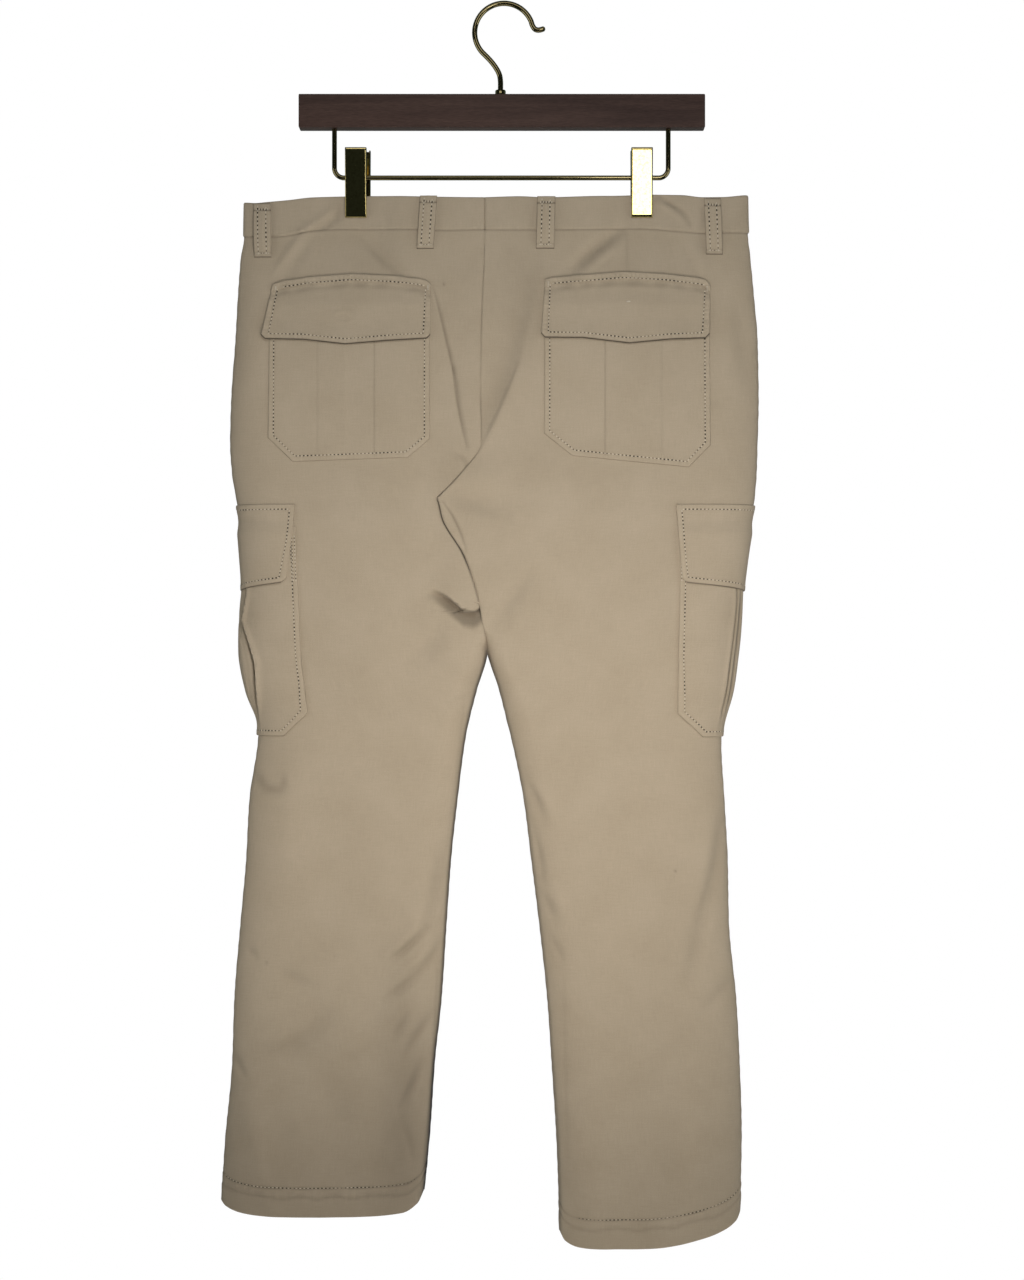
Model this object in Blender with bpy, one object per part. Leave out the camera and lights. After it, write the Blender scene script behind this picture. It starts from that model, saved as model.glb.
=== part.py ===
"""Cargo trousers hanging flat from a wooden clip hanger.

Frame: metres, +Z up, the garment's back towards -Y, the wearer's left towards -X.
The origin is the inside top of the hanger's hook.
Lengths below are millimetres unless a name says otherwise.
"""
import math

import bpy
import numpy as np

MM = 0.001

# ---------------------------------------------------------------- cloth
CLOTH = 1.2            # wall of one layer of twill
BAND = 2.2             # wall of the doubled waistband
HEM_WALL = 2.2         # wall where the hem is turned up
HEM_DEEP = 26.0        # depth of the turned-up hem
SEAM = 0.25            # half of the gap between two panels at a seam
SIDE_SEAM = 0.15       # the same at the side seams and inseams
LAP_GAP = 0.7          # half of the gap between the two legs where one laps over the other
LIFT = 0.9             # gap under a piece that lies on a panel
CARGO_LIFT = 1.2       # the same where a piece goes round the outer seam

CENTRE_X = -18.0       # centre front and upper centre back seam
WAIST_Z = -212.0       # nominal height of the waistband seam
SEAT_Z = -410.0        # lower end of the straight centre back seam
FORK_TOP_Z = -425.0    # the rise seam starts to turn under
FORK_Z = -470.0        # the four panels meet
LEGS_PART_Z = -604.0   # the inner edges of the legs leave each other
LEGS_FREE_Z = -645.0   # both faces of a leg share one inner edge from here down
POCKET_FOOT_Z = -700.0

# One row for each height: the outlines of the two legs seen from behind, the half depths
# of the back and the front, and the widths over which the outer and inner edges round off.
SECTION_COLUMNS = ("z", "left_out", "left_in", "right_in", "right_out",
                   "back", "front", "outer_round", "inner_round")
SECTIONS = (
    (-170, -246, -18, -18, 229, 7, 6, 26, 2),
    (-212, -247, -18, -18, 229, 8, 7, 26, 2),
    (-231, -249, -18, -18, 230, 9, 8, 27, 2),
    (-276, -250, -20, -20, 234, 12, 9, 30, 2),
    (-313, -252, -21, -21, 237, 14, 10, 32, 2),
    (-370, -256, -22, -22, 239, 16, 12, 36, 2),
    (-410, -257, -21, -21, 238, 18, 14, 39, 2),
    (-440, -255, -40, -40, 237, 20, 16, 41, 2),
    (-463, -251, -62, -62, 234, 21, 17, 42, 3),
    (-482, -248, -57, -57, 230, 22, 18, 43, 4),
    (-517, -245, -37, -37, 226, 22, 19, 45, 6),
    (-557, -243, -24, -24, 221, 22, 20, 47, 10),
    (-604, -243, -16, -16, 216, 22, 20, 48, 16),
    (-642, -237, -26, -4, 211, 21, 19, 49, 28),
    (-674, -230, -34, 4, 205, 20, 18, 50, 38),
    (-690, -231, -37, 8, 204, 19, 18, 50, 41),
    (-745, -239, -44, 19, 207, 19, 18, 52, 48),
    (-801, -242, -50, 26, 210, 20, 19, 54, 53),
    (-857, -247, -54, 33, 211, 21, 20, 56, 56),
    (-932, -253, -59, 41, 218, 23, 22, 62, 60),
    (-989, -255, -65, 45, 221, 24, 23, 66, 64),
    (-1064, -262, -70, 50, 223, 26, 25, 70, 68),
    (-1120, -265, -76, 52, 222, 27, 26, 74, 72),
    (-1160, -266, -79, 53, 220, 28, 27, 76, 74),
)

# Upper edge of the waistband and the seam below it, from side to side.
WAIST_COLUMNS = ("x", "top", "seam")
WAIST_LINE = (
    (-247, -184.5, -216.8),
    (-218, -182.4, -217.8),
    (-166, -179.4, -210.0),
    (-84, -180.2, -211.7),
    (-18, -180.8, -211.7),
    (120, -178.0, -209.3),
    (186, -181.0, -214.5),
    (229, -178.2, -213.5),
)

# Hem of each leg: height at the outer and the inner edge, and how far the middle drops.
HEMS = {
    "left": {"outer": -1118.0, "inner": -1107.0, "back_drop": 14.0, "front_drop": 3.0},
    "right": {"outer": -1129.0, "inner": -1147.0, "back_drop": 16.0, "front_drop": 4.0},
}

# The largest folds: a ridge (+) or trough (-) from one point to another.
FOLD_COLUMNS = ("panel", "x0", "z0", "x1", "z1", "height", "width")
FOLDS = (
    ("back_left", -66, -463, -24, -590, -5.0, 20),     # where it dives under the right leg
    ("back_left", -74, -560, -40, -578, -6.0, 15),     # hollow under the fork
    ("back_left", -80, -540, -45, -548, 3.0, 14),      # roll above that hollow
    ("back_left", -70, -600, -86, -660, -2.5, 18),
    ("back_left", -106, -895, -67, -809, -3.0, 16),
    ("back_left", -120, -1000, -96, -930, 2.5, 18),
    ("back_right", -50, -463, -14, -576, 3.0, 18),     # the edge that laps over
    ("back_right", 26, -310, -14, -414, 2.5, 16),
    ("back_right", 203, -761, 186, -853, -3.5, 16),
    ("back_right", 38, -817, 46, -854, -2.5, 14),
    ("front_left", -30, -470, -70, -590, -4.0, 20),
    ("front_left", -200, -780, -150, -870, -3.0, 18),
    ("front_right", -5, -470, 40, -590, -4.0, 20),
    ("front_right", 150, -800, 110, -890, -3.0, 18),
)

PANEL_COLUMNS = 15
PANEL_CUT_Z = -640.0   # each panel is two walls, so that collision can follow its hollow
PANEL_ROWS = ((WAIST_Z, 1), (SEAT_Z, 6), (-520.0, 8), (-640.0, 4), (POCKET_FOOT_Z, 2), (-1090.0, 8))

# ---------------------------------------------------------------- hanger
CLIP_X = {"left": -138.5, "right": 129.0}
BACK_JAW_SHIFT = {"left": 3.0, "right": 0.0}   # the left clip sits a little askew
CLIP_WIDE = 20.0
CLIP_PINCH = 0.72      # share of the waist's depth that a clip takes away
PINCH_WIDE = 36.0      # how far to each side of a clip its pinch reaches
CLIP_TOP_Z = -136.0
CLIP_FOOT_Z = -201.0
CLIP_SHEET = 1.2
JAW_GAP_Y = 4.9        # half of the opening between the two jaws
GRIP_Y = 11.0          # half of the spread at the finger end
WIRE = 5.0             # hook wire diameter
ROD = 4.6              # drop rod diameter
ROD_X = (-159.0, 154.0)
ROD_Z = -161.3
ROD_BEND = 9.0
BAR = {"x0": -192.0, "x1": 188.0, "y0": -8.0, "y1": 9.0, "z0": -115.3, "z1": -84.3}
GAP = 0.3


# ---------------------------------------------------------------- sections
def table_column(rows, names, name, at):
    """Value of one named column at the given places, on a smooth curve with no overshoot."""
    ordered = sorted(rows, key=lambda row: row[0])
    knots = np.array([row[0] for row in ordered], float)
    values = np.array([row[names.index(name)] for row in ordered], float)
    step = np.diff(knots)
    slope = np.diff(values) / step
    before, after = slope[:-1], slope[1:]
    same_way = before * after > 0
    total = np.where(same_way, before + after, 1.0)
    inner = np.where(same_way, 2 * before * after / total, 0.0)
    tangent = np.concatenate((slope[:1], inner, slope[-1:]))
    at = np.clip(np.asarray(at, float), knots[0], knots[-1])
    cell = np.clip(np.searchsorted(knots, at) - 1, 0, len(step) - 1)
    width = step[cell]
    t = (at - knots[cell]) / width
    return ((2 * t**3 - 3 * t**2 + 1) * values[cell] + (t**3 - 2 * t**2 + t) * width * tangent[cell]
            + (3 * t**2 - 2 * t**3) * values[cell + 1] + (t**3 - t**2) * width * tangent[cell + 1])


def section(name, z):
    return table_column(SECTIONS, SECTION_COLUMNS, name, z)


def waist_line(name, x):
    return table_column(WAIST_LINE, WAIST_COLUMNS, name, x)


def ease(low, high, value):
    """0 at low, 1 at high, with level ends."""
    t = np.clip((np.asarray(value, float) - low) / (high - low), 0, 1)
    return t * t * (3 - 2 * t)


def clip_pinch(x, z):
    """Share of the depth left between the two clips' jaws."""
    down = np.maximum(waist_line("top", x) - z, 0)
    near = sum(np.exp(-((x - centre) / PINCH_WIDE) ** 4) for centre in CLIP_X.values())
    return 1 - CLIP_PINCH * near * np.exp(-(down / 62.0) ** 4)


def folds(panel, x, z):
    """Sum of the panel's ridges and troughs, each a rounded bar between its two ends."""
    total = np.zeros(np.broadcast(x, z).shape)
    for row in FOLDS:
        fold = dict(zip(FOLD_COLUMNS, row))
        if fold["panel"] != panel:
            continue
        run = np.array((fold["x1"] - fold["x0"], fold["z1"] - fold["z0"]), float)
        along = ((x - fold["x0"]) * run[0] + (z - fold["z0"]) * run[1]) / run.dot(run)
        along = np.clip(along, 0, 1)
        away = np.hypot(x - fold["x0"] - along * run[0], z - fold["z0"] - along * run[1])
        total = total + fold["height"] * np.exp(-(away / fold["width"]) ** 2)
    return total


def half_depth(leg, face, x, z):
    return section(face, z) * clip_pinch(x, z) + folds(f"{face}_{leg}", x, z)


def inner_edge(leg, face, z):
    """Inner edge of a leg on one face: the back follows the lap, the front the centre seam."""
    own = section(f"{leg}_in", z)
    if face == "back":
        return own
    joined = 1 - ease(LEGS_PART_Z, LEGS_FREE_Z, z)
    return own + (CENTRE_X - own) * joined


def face_depth(leg, face, x, z):
    """Depth of a face under the point x, z, with the outer edge rounded off."""
    reach = np.abs(x - section(f"{leg}_out", z)) / section("outer_round", z)
    rounded = np.sqrt(np.clip(1 - (1 - np.clip(reach, 0, 1)) ** 2, 0, 1))
    return half_depth(leg, face, x, z) * rounded


def side_of(face):
    return -1.0 if face == "back" else 1.0


def inward(leg):
    return 1.0 if leg == "left" else -1.0


def on_face(leg, face, x, z):
    """Points of one face as (x, y, z)."""
    x, z = np.broadcast_arrays(np.asarray(x, float), np.asarray(z, float))
    return np.stack((x, side_of(face) * face_depth(leg, face, x, z), z), -1)


def round_side(leg, around, z):
    """Points at a distance around the outer edge: negative on the back, positive on the front."""
    around, z = np.broadcast_arrays(np.asarray(around, float), np.asarray(z, float))
    wide = section("outer_round", z)
    points = np.zeros(around.shape + (3,))
    for face, here in (("back", around < 0), ("front", around >= 0)):
        deep = section(face, z)
        quarter = math.pi / 2 * np.sqrt((wide**2 + deep**2) / 2)
        angle = np.minimum(np.abs(around) / quarter, 1) * math.pi / 2
        reach = wide * (1 - np.cos(angle)) + np.maximum(np.abs(around) - quarter, 0)
        x = section(f"{leg}_out", z) + inward(leg) * reach
        y = side_of(face) * half_depth(leg, face, x, z) * np.sin(angle)
        points[here] = np.stack((x, y, z), -1)[here]
    return points


def panel_profile(leg, face, z, count):
    """One row of a panel for each height, from the side seam to the inner seam.

    The path rounds the outer edge, crosses the face and turns in at the inner edge. Above the
    fork it stops at the centre seam, below it at the inseam, and between them on the way.
    """
    z = z[:, None]
    way = inward(leg)
    outer_round, inner_round = section("outer_round", z), section("inner_round", z)
    turn = np.linspace(0, math.pi / 2, 60)[None, :]
    outer_x = section(f"{leg}_out", z) + way * outer_round * (1 - np.cos(turn))
    share = ease(FORK_TOP_Z, FORK_Z, z)
    end = np.maximum(share, 0.02) * math.pi / 2
    turn_in = end * np.linspace(0, 1, 60)[None, :]
    back_in, front_in = inner_edge(leg, "back", z), inner_edge(leg, "front", z)
    back_deep, front_deep = section("back", z), section("front", z)
    corner_deep = half_depth(leg, face, inner_edge(leg, face, z), z) * np.cos(turn_in)
    level = (side_of(face) * corner_deep + back_deep) / (back_deep + front_deep)
    edge_x = back_in + (front_in - back_in) * level
    inner_x = edge_x - way * (inner_round * (1 - np.sin(turn_in)) * (share > 0) + LAP_GAP * share)
    middle_x = outer_x[:, -1:] + (inner_x[:, :1] - outer_x[:, -1:]) * np.linspace(0, 1, 60)[None, 1:-1]
    x = np.concatenate((outer_x, middle_x, inner_x), 1)
    shape = np.concatenate((np.sin(turn) + 0 * outer_x, 1 + 0 * middle_x, np.cos(turn_in)), 1)
    y = half_depth(leg, face, x, z) * shape
    length = np.concatenate((0 * z, np.cumsum(np.hypot(np.diff(x), np.diff(y)), 1)), 1)
    even = np.linspace(0, 1, count)
    want = 0.55 * even + 0.45 * (0.5 - 0.5 * np.cos(math.pi * even))
    rows = 2.0 * np.arange(len(z))[:, None]
    key = (length / length[:, -1:] + rows).ravel()
    asked = (want[None, :] + rows).ravel()
    shape_out = (len(z), count)
    return (np.interp(asked, key, x.ravel()).reshape(shape_out),
            side_of(face) * np.interp(asked, key, y.ravel()).reshape(shape_out))


# ---------------------------------------------------------------- meshes
def finish_material(name, colour, roughness, metallic):
    material = bpy.data.materials.new(name)
    material.use_nodes = True
    shader = material.node_tree.nodes["Principled BSDF"]
    shader.inputs["Base Color"].default_value = (*colour, 1)
    shader.inputs["Roughness"].default_value = roughness
    shader.inputs["Metallic"].default_value = metallic
    return material


TWILL = ((0.40, 0.34, 0.25), 0.85, 0.0)
BUTTON = ((0.20, 0.15, 0.10), 0.35, 0.0)
WOOD = ((0.045, 0.028, 0.022), 0.4, 0.0)
BRASS = ((0.55, 0.44, 0.22), 0.25, 1.0)


def add_object(name, mesh, finish, smooth_angle=40):
    obj = bpy.data.objects.new(name, mesh)
    bpy.context.scene.collection.objects.link(obj)
    mesh.materials.append(finish_material(f"{name}_finish", *finish))
    mesh.shade_smooth()
    mesh.set_sharp_from_angle(angle=math.radians(smooth_angle))
    return obj


def normals_of(points):
    across = np.gradient(points, axis=1)
    down = np.gradient(points, axis=0)
    normal = np.cross(across, down)
    return normal / np.linalg.norm(normal, axis=2, keepdims=True)


def volume_of(points, faces):
    """Signed volume of a closed mesh, positive when its faces point out."""
    total = 0.0
    for face in faces:
        for second, third in zip(face[1:-1], face[2:]):
            total += np.dot(points[face[0]], np.cross(points[second], points[third]))
    return total / 6


def closed_wall(name, outer, inner, finish, wrap=False):
    """A wall between two grids of points; wrap joins its first and last columns."""
    rows, columns = outer.shape[:2]
    points = np.concatenate((outer.reshape(-1, 3), inner.reshape(-1, 3))) * MM
    number = np.arange(rows * columns).reshape(rows, columns)
    if wrap:
        number = np.concatenate((number, number[:, :1]), 1)
    far = rows * columns
    faces = []
    for r in range(rows - 1):
        for c in range(number.shape[1] - 1):
            quad = (number[r, c], number[r, c + 1], number[r + 1, c + 1], number[r + 1, c])
            faces.append(quad)
            faces.append(tuple(far + v for v in reversed(quad)))
    rims = [number[0], number[-1][::-1]]
    if not wrap:
        rims += [number[::-1, 0], number[:, -1]]
    for rim in rims:
        for a, b in zip(rim[:-1], rim[1:]):
            faces.append((b, a, a + far, b + far))
    if volume_of(points, faces) < 0:
        faces = [tuple(reversed(face)) for face in faces]
    mesh = bpy.data.meshes.new(name)
    mesh.from_pydata(points.tolist(), [], [[int(v) for v in face] for face in faces])
    mesh.validate()
    return add_object(name, mesh, finish)


def laid_on(points, face, low, thick):
    """Outer and inner grids of a piece that lies on a face, low above it."""
    normal = normals_of(points)
    flip = np.sign(np.sum(normal[..., 1] * side_of(face)))
    normal = normal * flip
    low = np.broadcast_to(low, points.shape[:2])[..., None]
    return points + normal * (low + thick), points + normal * low


# ---------------------------------------------------------------- panels
def panel_rows(leg):
    hem = (HEMS[leg]["outer"] + HEMS[leg]["inner"]) / 2
    rows = [np.array([WAIST_Z])]
    for (start, _), (end, count) in zip(PANEL_ROWS[:-1], PANEL_ROWS[1:]):
        if end < -1000:
            end = hem + HEM_DEEP
        rows.append(np.linspace(start, end, count + 1)[1:])
    rows.append(np.array([hem + HEM_DEEP - 2, hem]))
    return np.concatenate(rows)


def hem_shift(leg, face, x, z):
    """How far a point moves so that the last row follows the hem's own curve."""
    hem = HEMS[leg]
    nominal = (hem["outer"] + hem["inner"]) / 2
    outer, inner = section(f"{leg}_out", z), section(f"{leg}_in", z)
    across = np.clip((x - outer) / (inner - outer), 0, 1)
    edge = hem["outer"] + (hem["inner"] - hem["outer"]) * across
    edge = edge - hem[f"{face}_drop"] * np.sin(math.pi * across)
    return (edge - nominal) * ease(nominal + 190, nominal + HEM_DEEP, z)


def shorten(grid, end, beside):
    """The grid with one end row drawn back by half of the gap between two walls."""
    grid = grid.copy()
    run = grid[beside] - grid[end]
    grid[end] += run * (SIDE_SEAM / np.abs(run[:, 2:]))
    return grid


def panel(leg, face):
    """One quarter of the trousers, from the waistband's seam to the turned-up hem."""
    nominal = panel_rows(leg)
    x, y = panel_profile(leg, face, nominal, PANEL_COLUMNS)
    z = np.repeat(nominal[:, None], PANEL_COLUMNS, 1)
    top = (waist_line("seam", x) - SIDE_SEAM - WAIST_Z) * ease(WAIST_Z - 75, WAIST_Z, z)
    z = z + top + hem_shift(leg, face, x, z)
    outer = np.stack((x, y, z), -1)
    outer[:, -1, 0] -= inward(leg) * SEAM
    outer[:, 0, 1] = side_of(face) * SIDE_SEAM
    below_fork = outer[:, -1, 2] < FORK_Z
    outer[below_fork, -1, 1] = side_of(face) * SIDE_SEAM
    normal = normals_of(outer)
    normal *= np.sign(np.sum(normal[..., 1] * side_of(face)))
    wall = np.where(np.arange(len(nominal)) >= len(nominal) - 2, HEM_WALL, CLOTH)[:, None, None]
    inner = outer - normal * wall
    inner[:, 0, 1] = outer[:, 0, 1]
    inner[below_fork, -1, 1] = outer[below_fork, -1, 1]
    if leg == "left":
        inner[:, -1, 0] = np.minimum(inner[:, -1, 0], outer[:, -1, 0])
    else:
        inner[:, -1, 0] = np.maximum(inner[:, -1, 0], outer[:, -1, 0])
    inner[0, :, 2] = outer[0, :, 2]
    inner[-1, :, 2] = outer[-1, :, 2]
    cut = int(np.argmin(np.abs(nominal - PANEL_CUT_Z)))
    upper = [shorten(grid[:cut + 1], -1, -2) for grid in (outer, inner)]
    lower = [shorten(grid[cut:], 0, 1) for grid in (outer, inner)]
    closed_wall(f"{face}_{leg}_upper", *upper, TWILL)
    closed_wall(f"{face}_{leg}_lower", *lower, TWILL)


# ---------------------------------------------------------------- waistband
def waistband(leg):
    """Half a waistband: along the back, round the side and along the front."""
    rings = []
    z = np.array([-176.0, -192.0, WAIST_Z])
    for face in ("back", "front"):
        x, y = panel_profile(leg, face, z, PANEL_COLUMNS)
        x[:, -1] -= inward(leg) * SEAM
        rings.append((x, y))
    (back_x, back_y), (front_x, front_y) = rings
    x = np.concatenate((back_x[:, :0:-1], front_x), 1)
    y = np.concatenate((back_y[:, :0:-1], front_y), 1)
    share = np.linspace(0, 1, len(z))[:, None]
    height = waist_line("top", x) * (1 - share) + (waist_line("seam", x) + SIDE_SEAM) * share
    ring = np.stack((x, y, height), -1)
    normal = normals_of(ring)
    normal[..., 2] = 0
    normal /= np.linalg.norm(normal, axis=2, keepdims=True)
    normal *= np.sign(normal[1, 4, 1]) * -1
    for column in (0, -1):
        normal[:, column, 0] = 0
        normal[:, column] /= np.linalg.norm(normal[:, column], axis=1, keepdims=True)
    outer = ring + normal * (BAND - CLOTH)
    return closed_wall(f"waistband_{leg}", outer, outer - normal * BAND, TWILL)


LOOP_COLUMNS = ("name", "face", "leg", "x_top", "x_foot", "wide", "top", "foot")
LOOPS = (
    ("loop_side_left", "back", "left", -224.4, -224.4, 15.9, -186.0, -236.0),
    ("loop_back_left", "back", "left", -69.8, -73.3, 15.9, -181.0, -227.3),
    ("loop_back_right", "back", "right", 39.0, 39.0, 17.5, -181.7, -227.3),
    ("loop_side_right", "back", "right", 194.2, 196.0, 16.0, -183.1, -233.5),
    ("loop_front_left", "front", "left", -98.0, -98.0, 16.0, -182.0, -230.0),
    ("loop_front_right", "front", "right", 70.0, 70.0, 16.0, -182.0, -230.0),
)


def belt_loop(row):
    """A strap held at both ends and standing off the waistband between them."""
    loop = dict(zip(LOOP_COLUMNS, row))
    share = np.linspace(0, 1, 7)[:, None]
    middle = loop["x_top"] + (loop["x_foot"] - loop["x_top"]) * share
    x = middle + loop["wide"] * np.array((-0.5, 0.0, 0.5))[None, :]
    z = loop["top"] + (loop["foot"] - loop["top"]) * share + 0 * x
    off_band = BAND - CLOTH + GAP + 0.2
    rise = off_band + 1.6 * np.sin(math.pi * np.clip(share, 0, 1)) ** 0.7
    points = on_face(loop["leg"], loop["face"], x, z)
    outer, inner = laid_on(points, loop["face"], rise, CLOTH)
    return closed_wall(loop["name"], outer, inner, TWILL)


# ---------------------------------------------------------------- back pockets
POCKETS = {
    "left": {
        "flap_top": ((-216, -263), (-181, -256), (-141.5, -253), (-106, -254.7), (-73.5, -259), (-68, -264)),
        "flap_foot": ((-225, -313.7), (-187, -315.6), (-148, -319.8), (-108, -316.5), (-68.8, -313.7)),
        "mouth": ((-218.5, -279), (-69.5, -279)),
        "foot": ((-219.5, -406.7), (-196.3, -429.1), (-89.3, -425.3), (-68.8, -407.7)),
        "pleat": (-172.0, -120.0),
    },
    "right": {
        "flap_top": ((38.2, -259), (75.5, -254), (112, -251), (150, -253), (188, -258), (192.4, -264)),
        "flap_foot": ((34.5, -313.7), (72.6, -313.7), (116.4, -319), (154.5, -315.6), (190.8, -313.7)),
        "mouth": ((38.0, -277), (191.5, -277)),
        "foot": ((37.3, -402.6), (63.3, -423.5), (171.7, -434.3), (192.2, -413.3)),
        "pleat": (93.0, 145.0),
    },
}
PLEAT_RISE = 1.0


def between_edges(upper, lower, columns, rows):
    """Grid of x and z between an upper and a lower edge, each a row of points.

    The columns are shares of the width, so both edges are read at their own corners too.
    """
    upper, lower = np.array(upper, float), np.array(lower, float)

    def edge(points):
        share = (points[:, 0] - points[0, 0]) / (points[-1, 0] - points[0, 0])
        return np.stack((np.interp(columns, share, points[:, 0]), np.interp(columns, share, points[:, 1])), -1)

    down = np.asarray(rows, float)[:, None, None]
    grid = edge(upper)[None] * (1 - down) + edge(lower)[None] * down
    return grid[..., 0], grid[..., 1]


def corner_shares(*edges):
    """Shares of the width at which any of the edges has a corner."""
    shares = set()
    for points in edges:
        first, last = points[0][0], points[-1][0]
        shares |= {round((x - first) / (last - first), 3) for x, _ in points}
    return np.array(sorted(shares))


def back_pocket(leg):
    shape = POCKETS[leg]
    wide = shape["foot"][-1][0] - shape["foot"][0][0]
    pleat = [(x + side * 1.5 - shape["foot"][0][0]) / wide
             for x, side in zip(shape["pleat"], (-1, 1)) for side in (-side, side)]
    columns = np.unique(np.concatenate((corner_shares(shape["foot"]), pleat, [0.5])))
    x, z = between_edges(shape["mouth"], shape["foot"], columns, np.linspace(0, 1, 6))
    points = on_face(leg, "back", x, z)
    inside = (columns > min(pleat) + 0.001) & (columns < max(pleat) - 0.001)
    rise = LIFT + PLEAT_RISE * inside[None, :]
    outer, inner = laid_on(points, "back", rise, CLOTH)
    return closed_wall(f"back_pocket_{leg}", outer, inner, TWILL)


def back_flap(leg):
    shape = POCKETS[leg]
    columns = corner_shares(shape["flap_top"], shape["flap_foot"])
    rows = np.array((0.0, 0.12, 0.3, 0.65, 1.0))
    x, z = between_edges(shape["flap_top"], shape["flap_foot"], columns, rows)
    points = on_face(leg, "back", x, z)
    over = LIFT + PLEAT_RISE + CLOTH + GAP
    rise = LIFT + (over - LIFT) * ease(0, 0.3, rows)[:, None]
    outer, inner = laid_on(points, "back", rise, CLOTH)
    return closed_wall(f"back_flap_{leg}", outer, inner, TWILL)


# ---------------------------------------------------------------- cargo pockets
# Distances round the leg from the outer seam, to the rear and to the front edge.
CARGO = {
    "left": {"top": -468.5, "rear_foot": -541.0, "side_foot": -549.0, "rear": 62.0, "front": 104.0,
             "mouth": -489.0, "foot": -684.0, "corner": 22.0, "bulge": 2.6},
    "right": {"top": -468.5, "rear_foot": -541.0, "side_foot": -549.0, "rear": 66.0, "front": 104.0,
              "mouth": -489.0, "foot": -685.0, "corner": 22.0, "bulge": 2.2},
}


def cargo_columns(rear, front):
    """Places round the leg from the rear edge to the front edge, close together at the outer seam."""
    rear_shares = np.array((1.0, 0.7, 0.45, 0.27, 0.16, 0.08))
    front_shares = np.array((0.0, 0.045, 0.09, 0.16, 0.26, 0.45, 0.72, 1.0))
    rear, front = np.atleast_1d(rear)[:, None], np.atleast_1d(front)[:, None]
    return np.concatenate((-rear * rear_shares, front * front_shares), 1)


def cargo_puff(shape, across, z):
    """How far the filled-out pocket stands off the leg, most below its middle height."""
    down = np.clip((z - shape["mouth"]) / (shape["foot"] - shape["mouth"]), 0, 1)
    return shape["bulge"] * np.sin(math.pi * across) * np.sin(math.pi * down) ** 0.8


def cargo_pocket(leg):
    """A bellows pocket round the outer seam, with its lower corners cut off."""
    shape = CARGO[leg]
    z = np.concatenate((np.linspace(shape["mouth"], shape["foot"] + shape["corner"], 6),
                        [shape["foot"] + shape["corner"] / 2, shape["foot"]]))
    cut = np.maximum(shape["foot"] + shape["corner"] - z, 0)
    around = cargo_columns(shape["rear"] - 0.9 * cut, shape["front"] - 0.9 * cut)
    points = round_side(leg, around, z[:, None] + 0 * around)
    across = (around - around[:, :1]) / (around[:, -1:] - around[:, :1])
    outer, inner = laid_round(leg, points, CARGO_LIFT + cargo_puff(shape, across, z[:, None]), CLOTH)
    return closed_wall(f"cargo_pocket_{leg}", outer, inner, TWILL)


def laid_round(leg, points, low, thick):
    """Outer and inner grids of a piece wrapped round the outer edge of a leg."""
    normal = normals_of(points)
    if normal[..., 0].sum() * inward(leg) > 0:
        normal = -normal
    low = np.broadcast_to(low, points.shape[:2])[..., None]
    return points + normal * (low + thick), points + normal * low


def cargo_flap(leg):
    shape = CARGO[leg]
    rear, front = shape["rear"] + 2.0, shape["front"] + 2.0
    around = cargo_columns(rear, front)
    across = (around + rear) / (front + rear)
    tilt = np.interp(around, (-rear, 0.0, front), (shape["rear_foot"], shape["side_foot"], shape["rear_foot"]))
    rows = np.array((0.0, 0.1, 0.22, 0.6, 1.0))
    z = shape["top"] * (1 - rows[:, None]) + tilt * rows[:, None]
    points = round_side(leg, around + 0 * z, z)
    over_pocket = (CLOTH + GAP + 0.5) * ease(0, 0.2, rows)[:, None]
    rise = CARGO_LIFT + over_pocket + cargo_puff(shape, across, z)
    outer, inner = laid_round(leg, points, rise, CLOTH)
    return closed_wall(f"cargo_flap_{leg}", outer, inner, TWILL)


# ---------------------------------------------------------------- front
FLY = {"wide": 38.0, "foot": -372.0}
BUTTON_SHAPE = {"x": -34.0, "z": -196.0, "radius": 8.5, "thick": 3.0, "dish": 0.9, "sides": 20}


def fly_placket():
    """The stitched flap over the fly, rounded off at its foot."""
    rows = np.linspace(0, 1, 8)
    top = WAIST_Z - 4.0
    z = top + (FLY["foot"] - top) * rows
    wide = FLY["wide"] * np.sqrt(np.clip(1 - np.clip((rows - 0.72) / 0.28, 0, 0.98) ** 2, 0, 1))
    right = CENTRE_X - SEAM
    x = right - wide[:, None] * np.array((1.0, 0.6, 0.3, 0.0))[None, :]
    points = on_face("left", "front", x, z[:, None] + 0 * x)
    outer, inner = laid_on(points, "front", LIFT, CLOTH)
    return closed_wall("fly_placket", outer, inner, TWILL)


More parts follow.
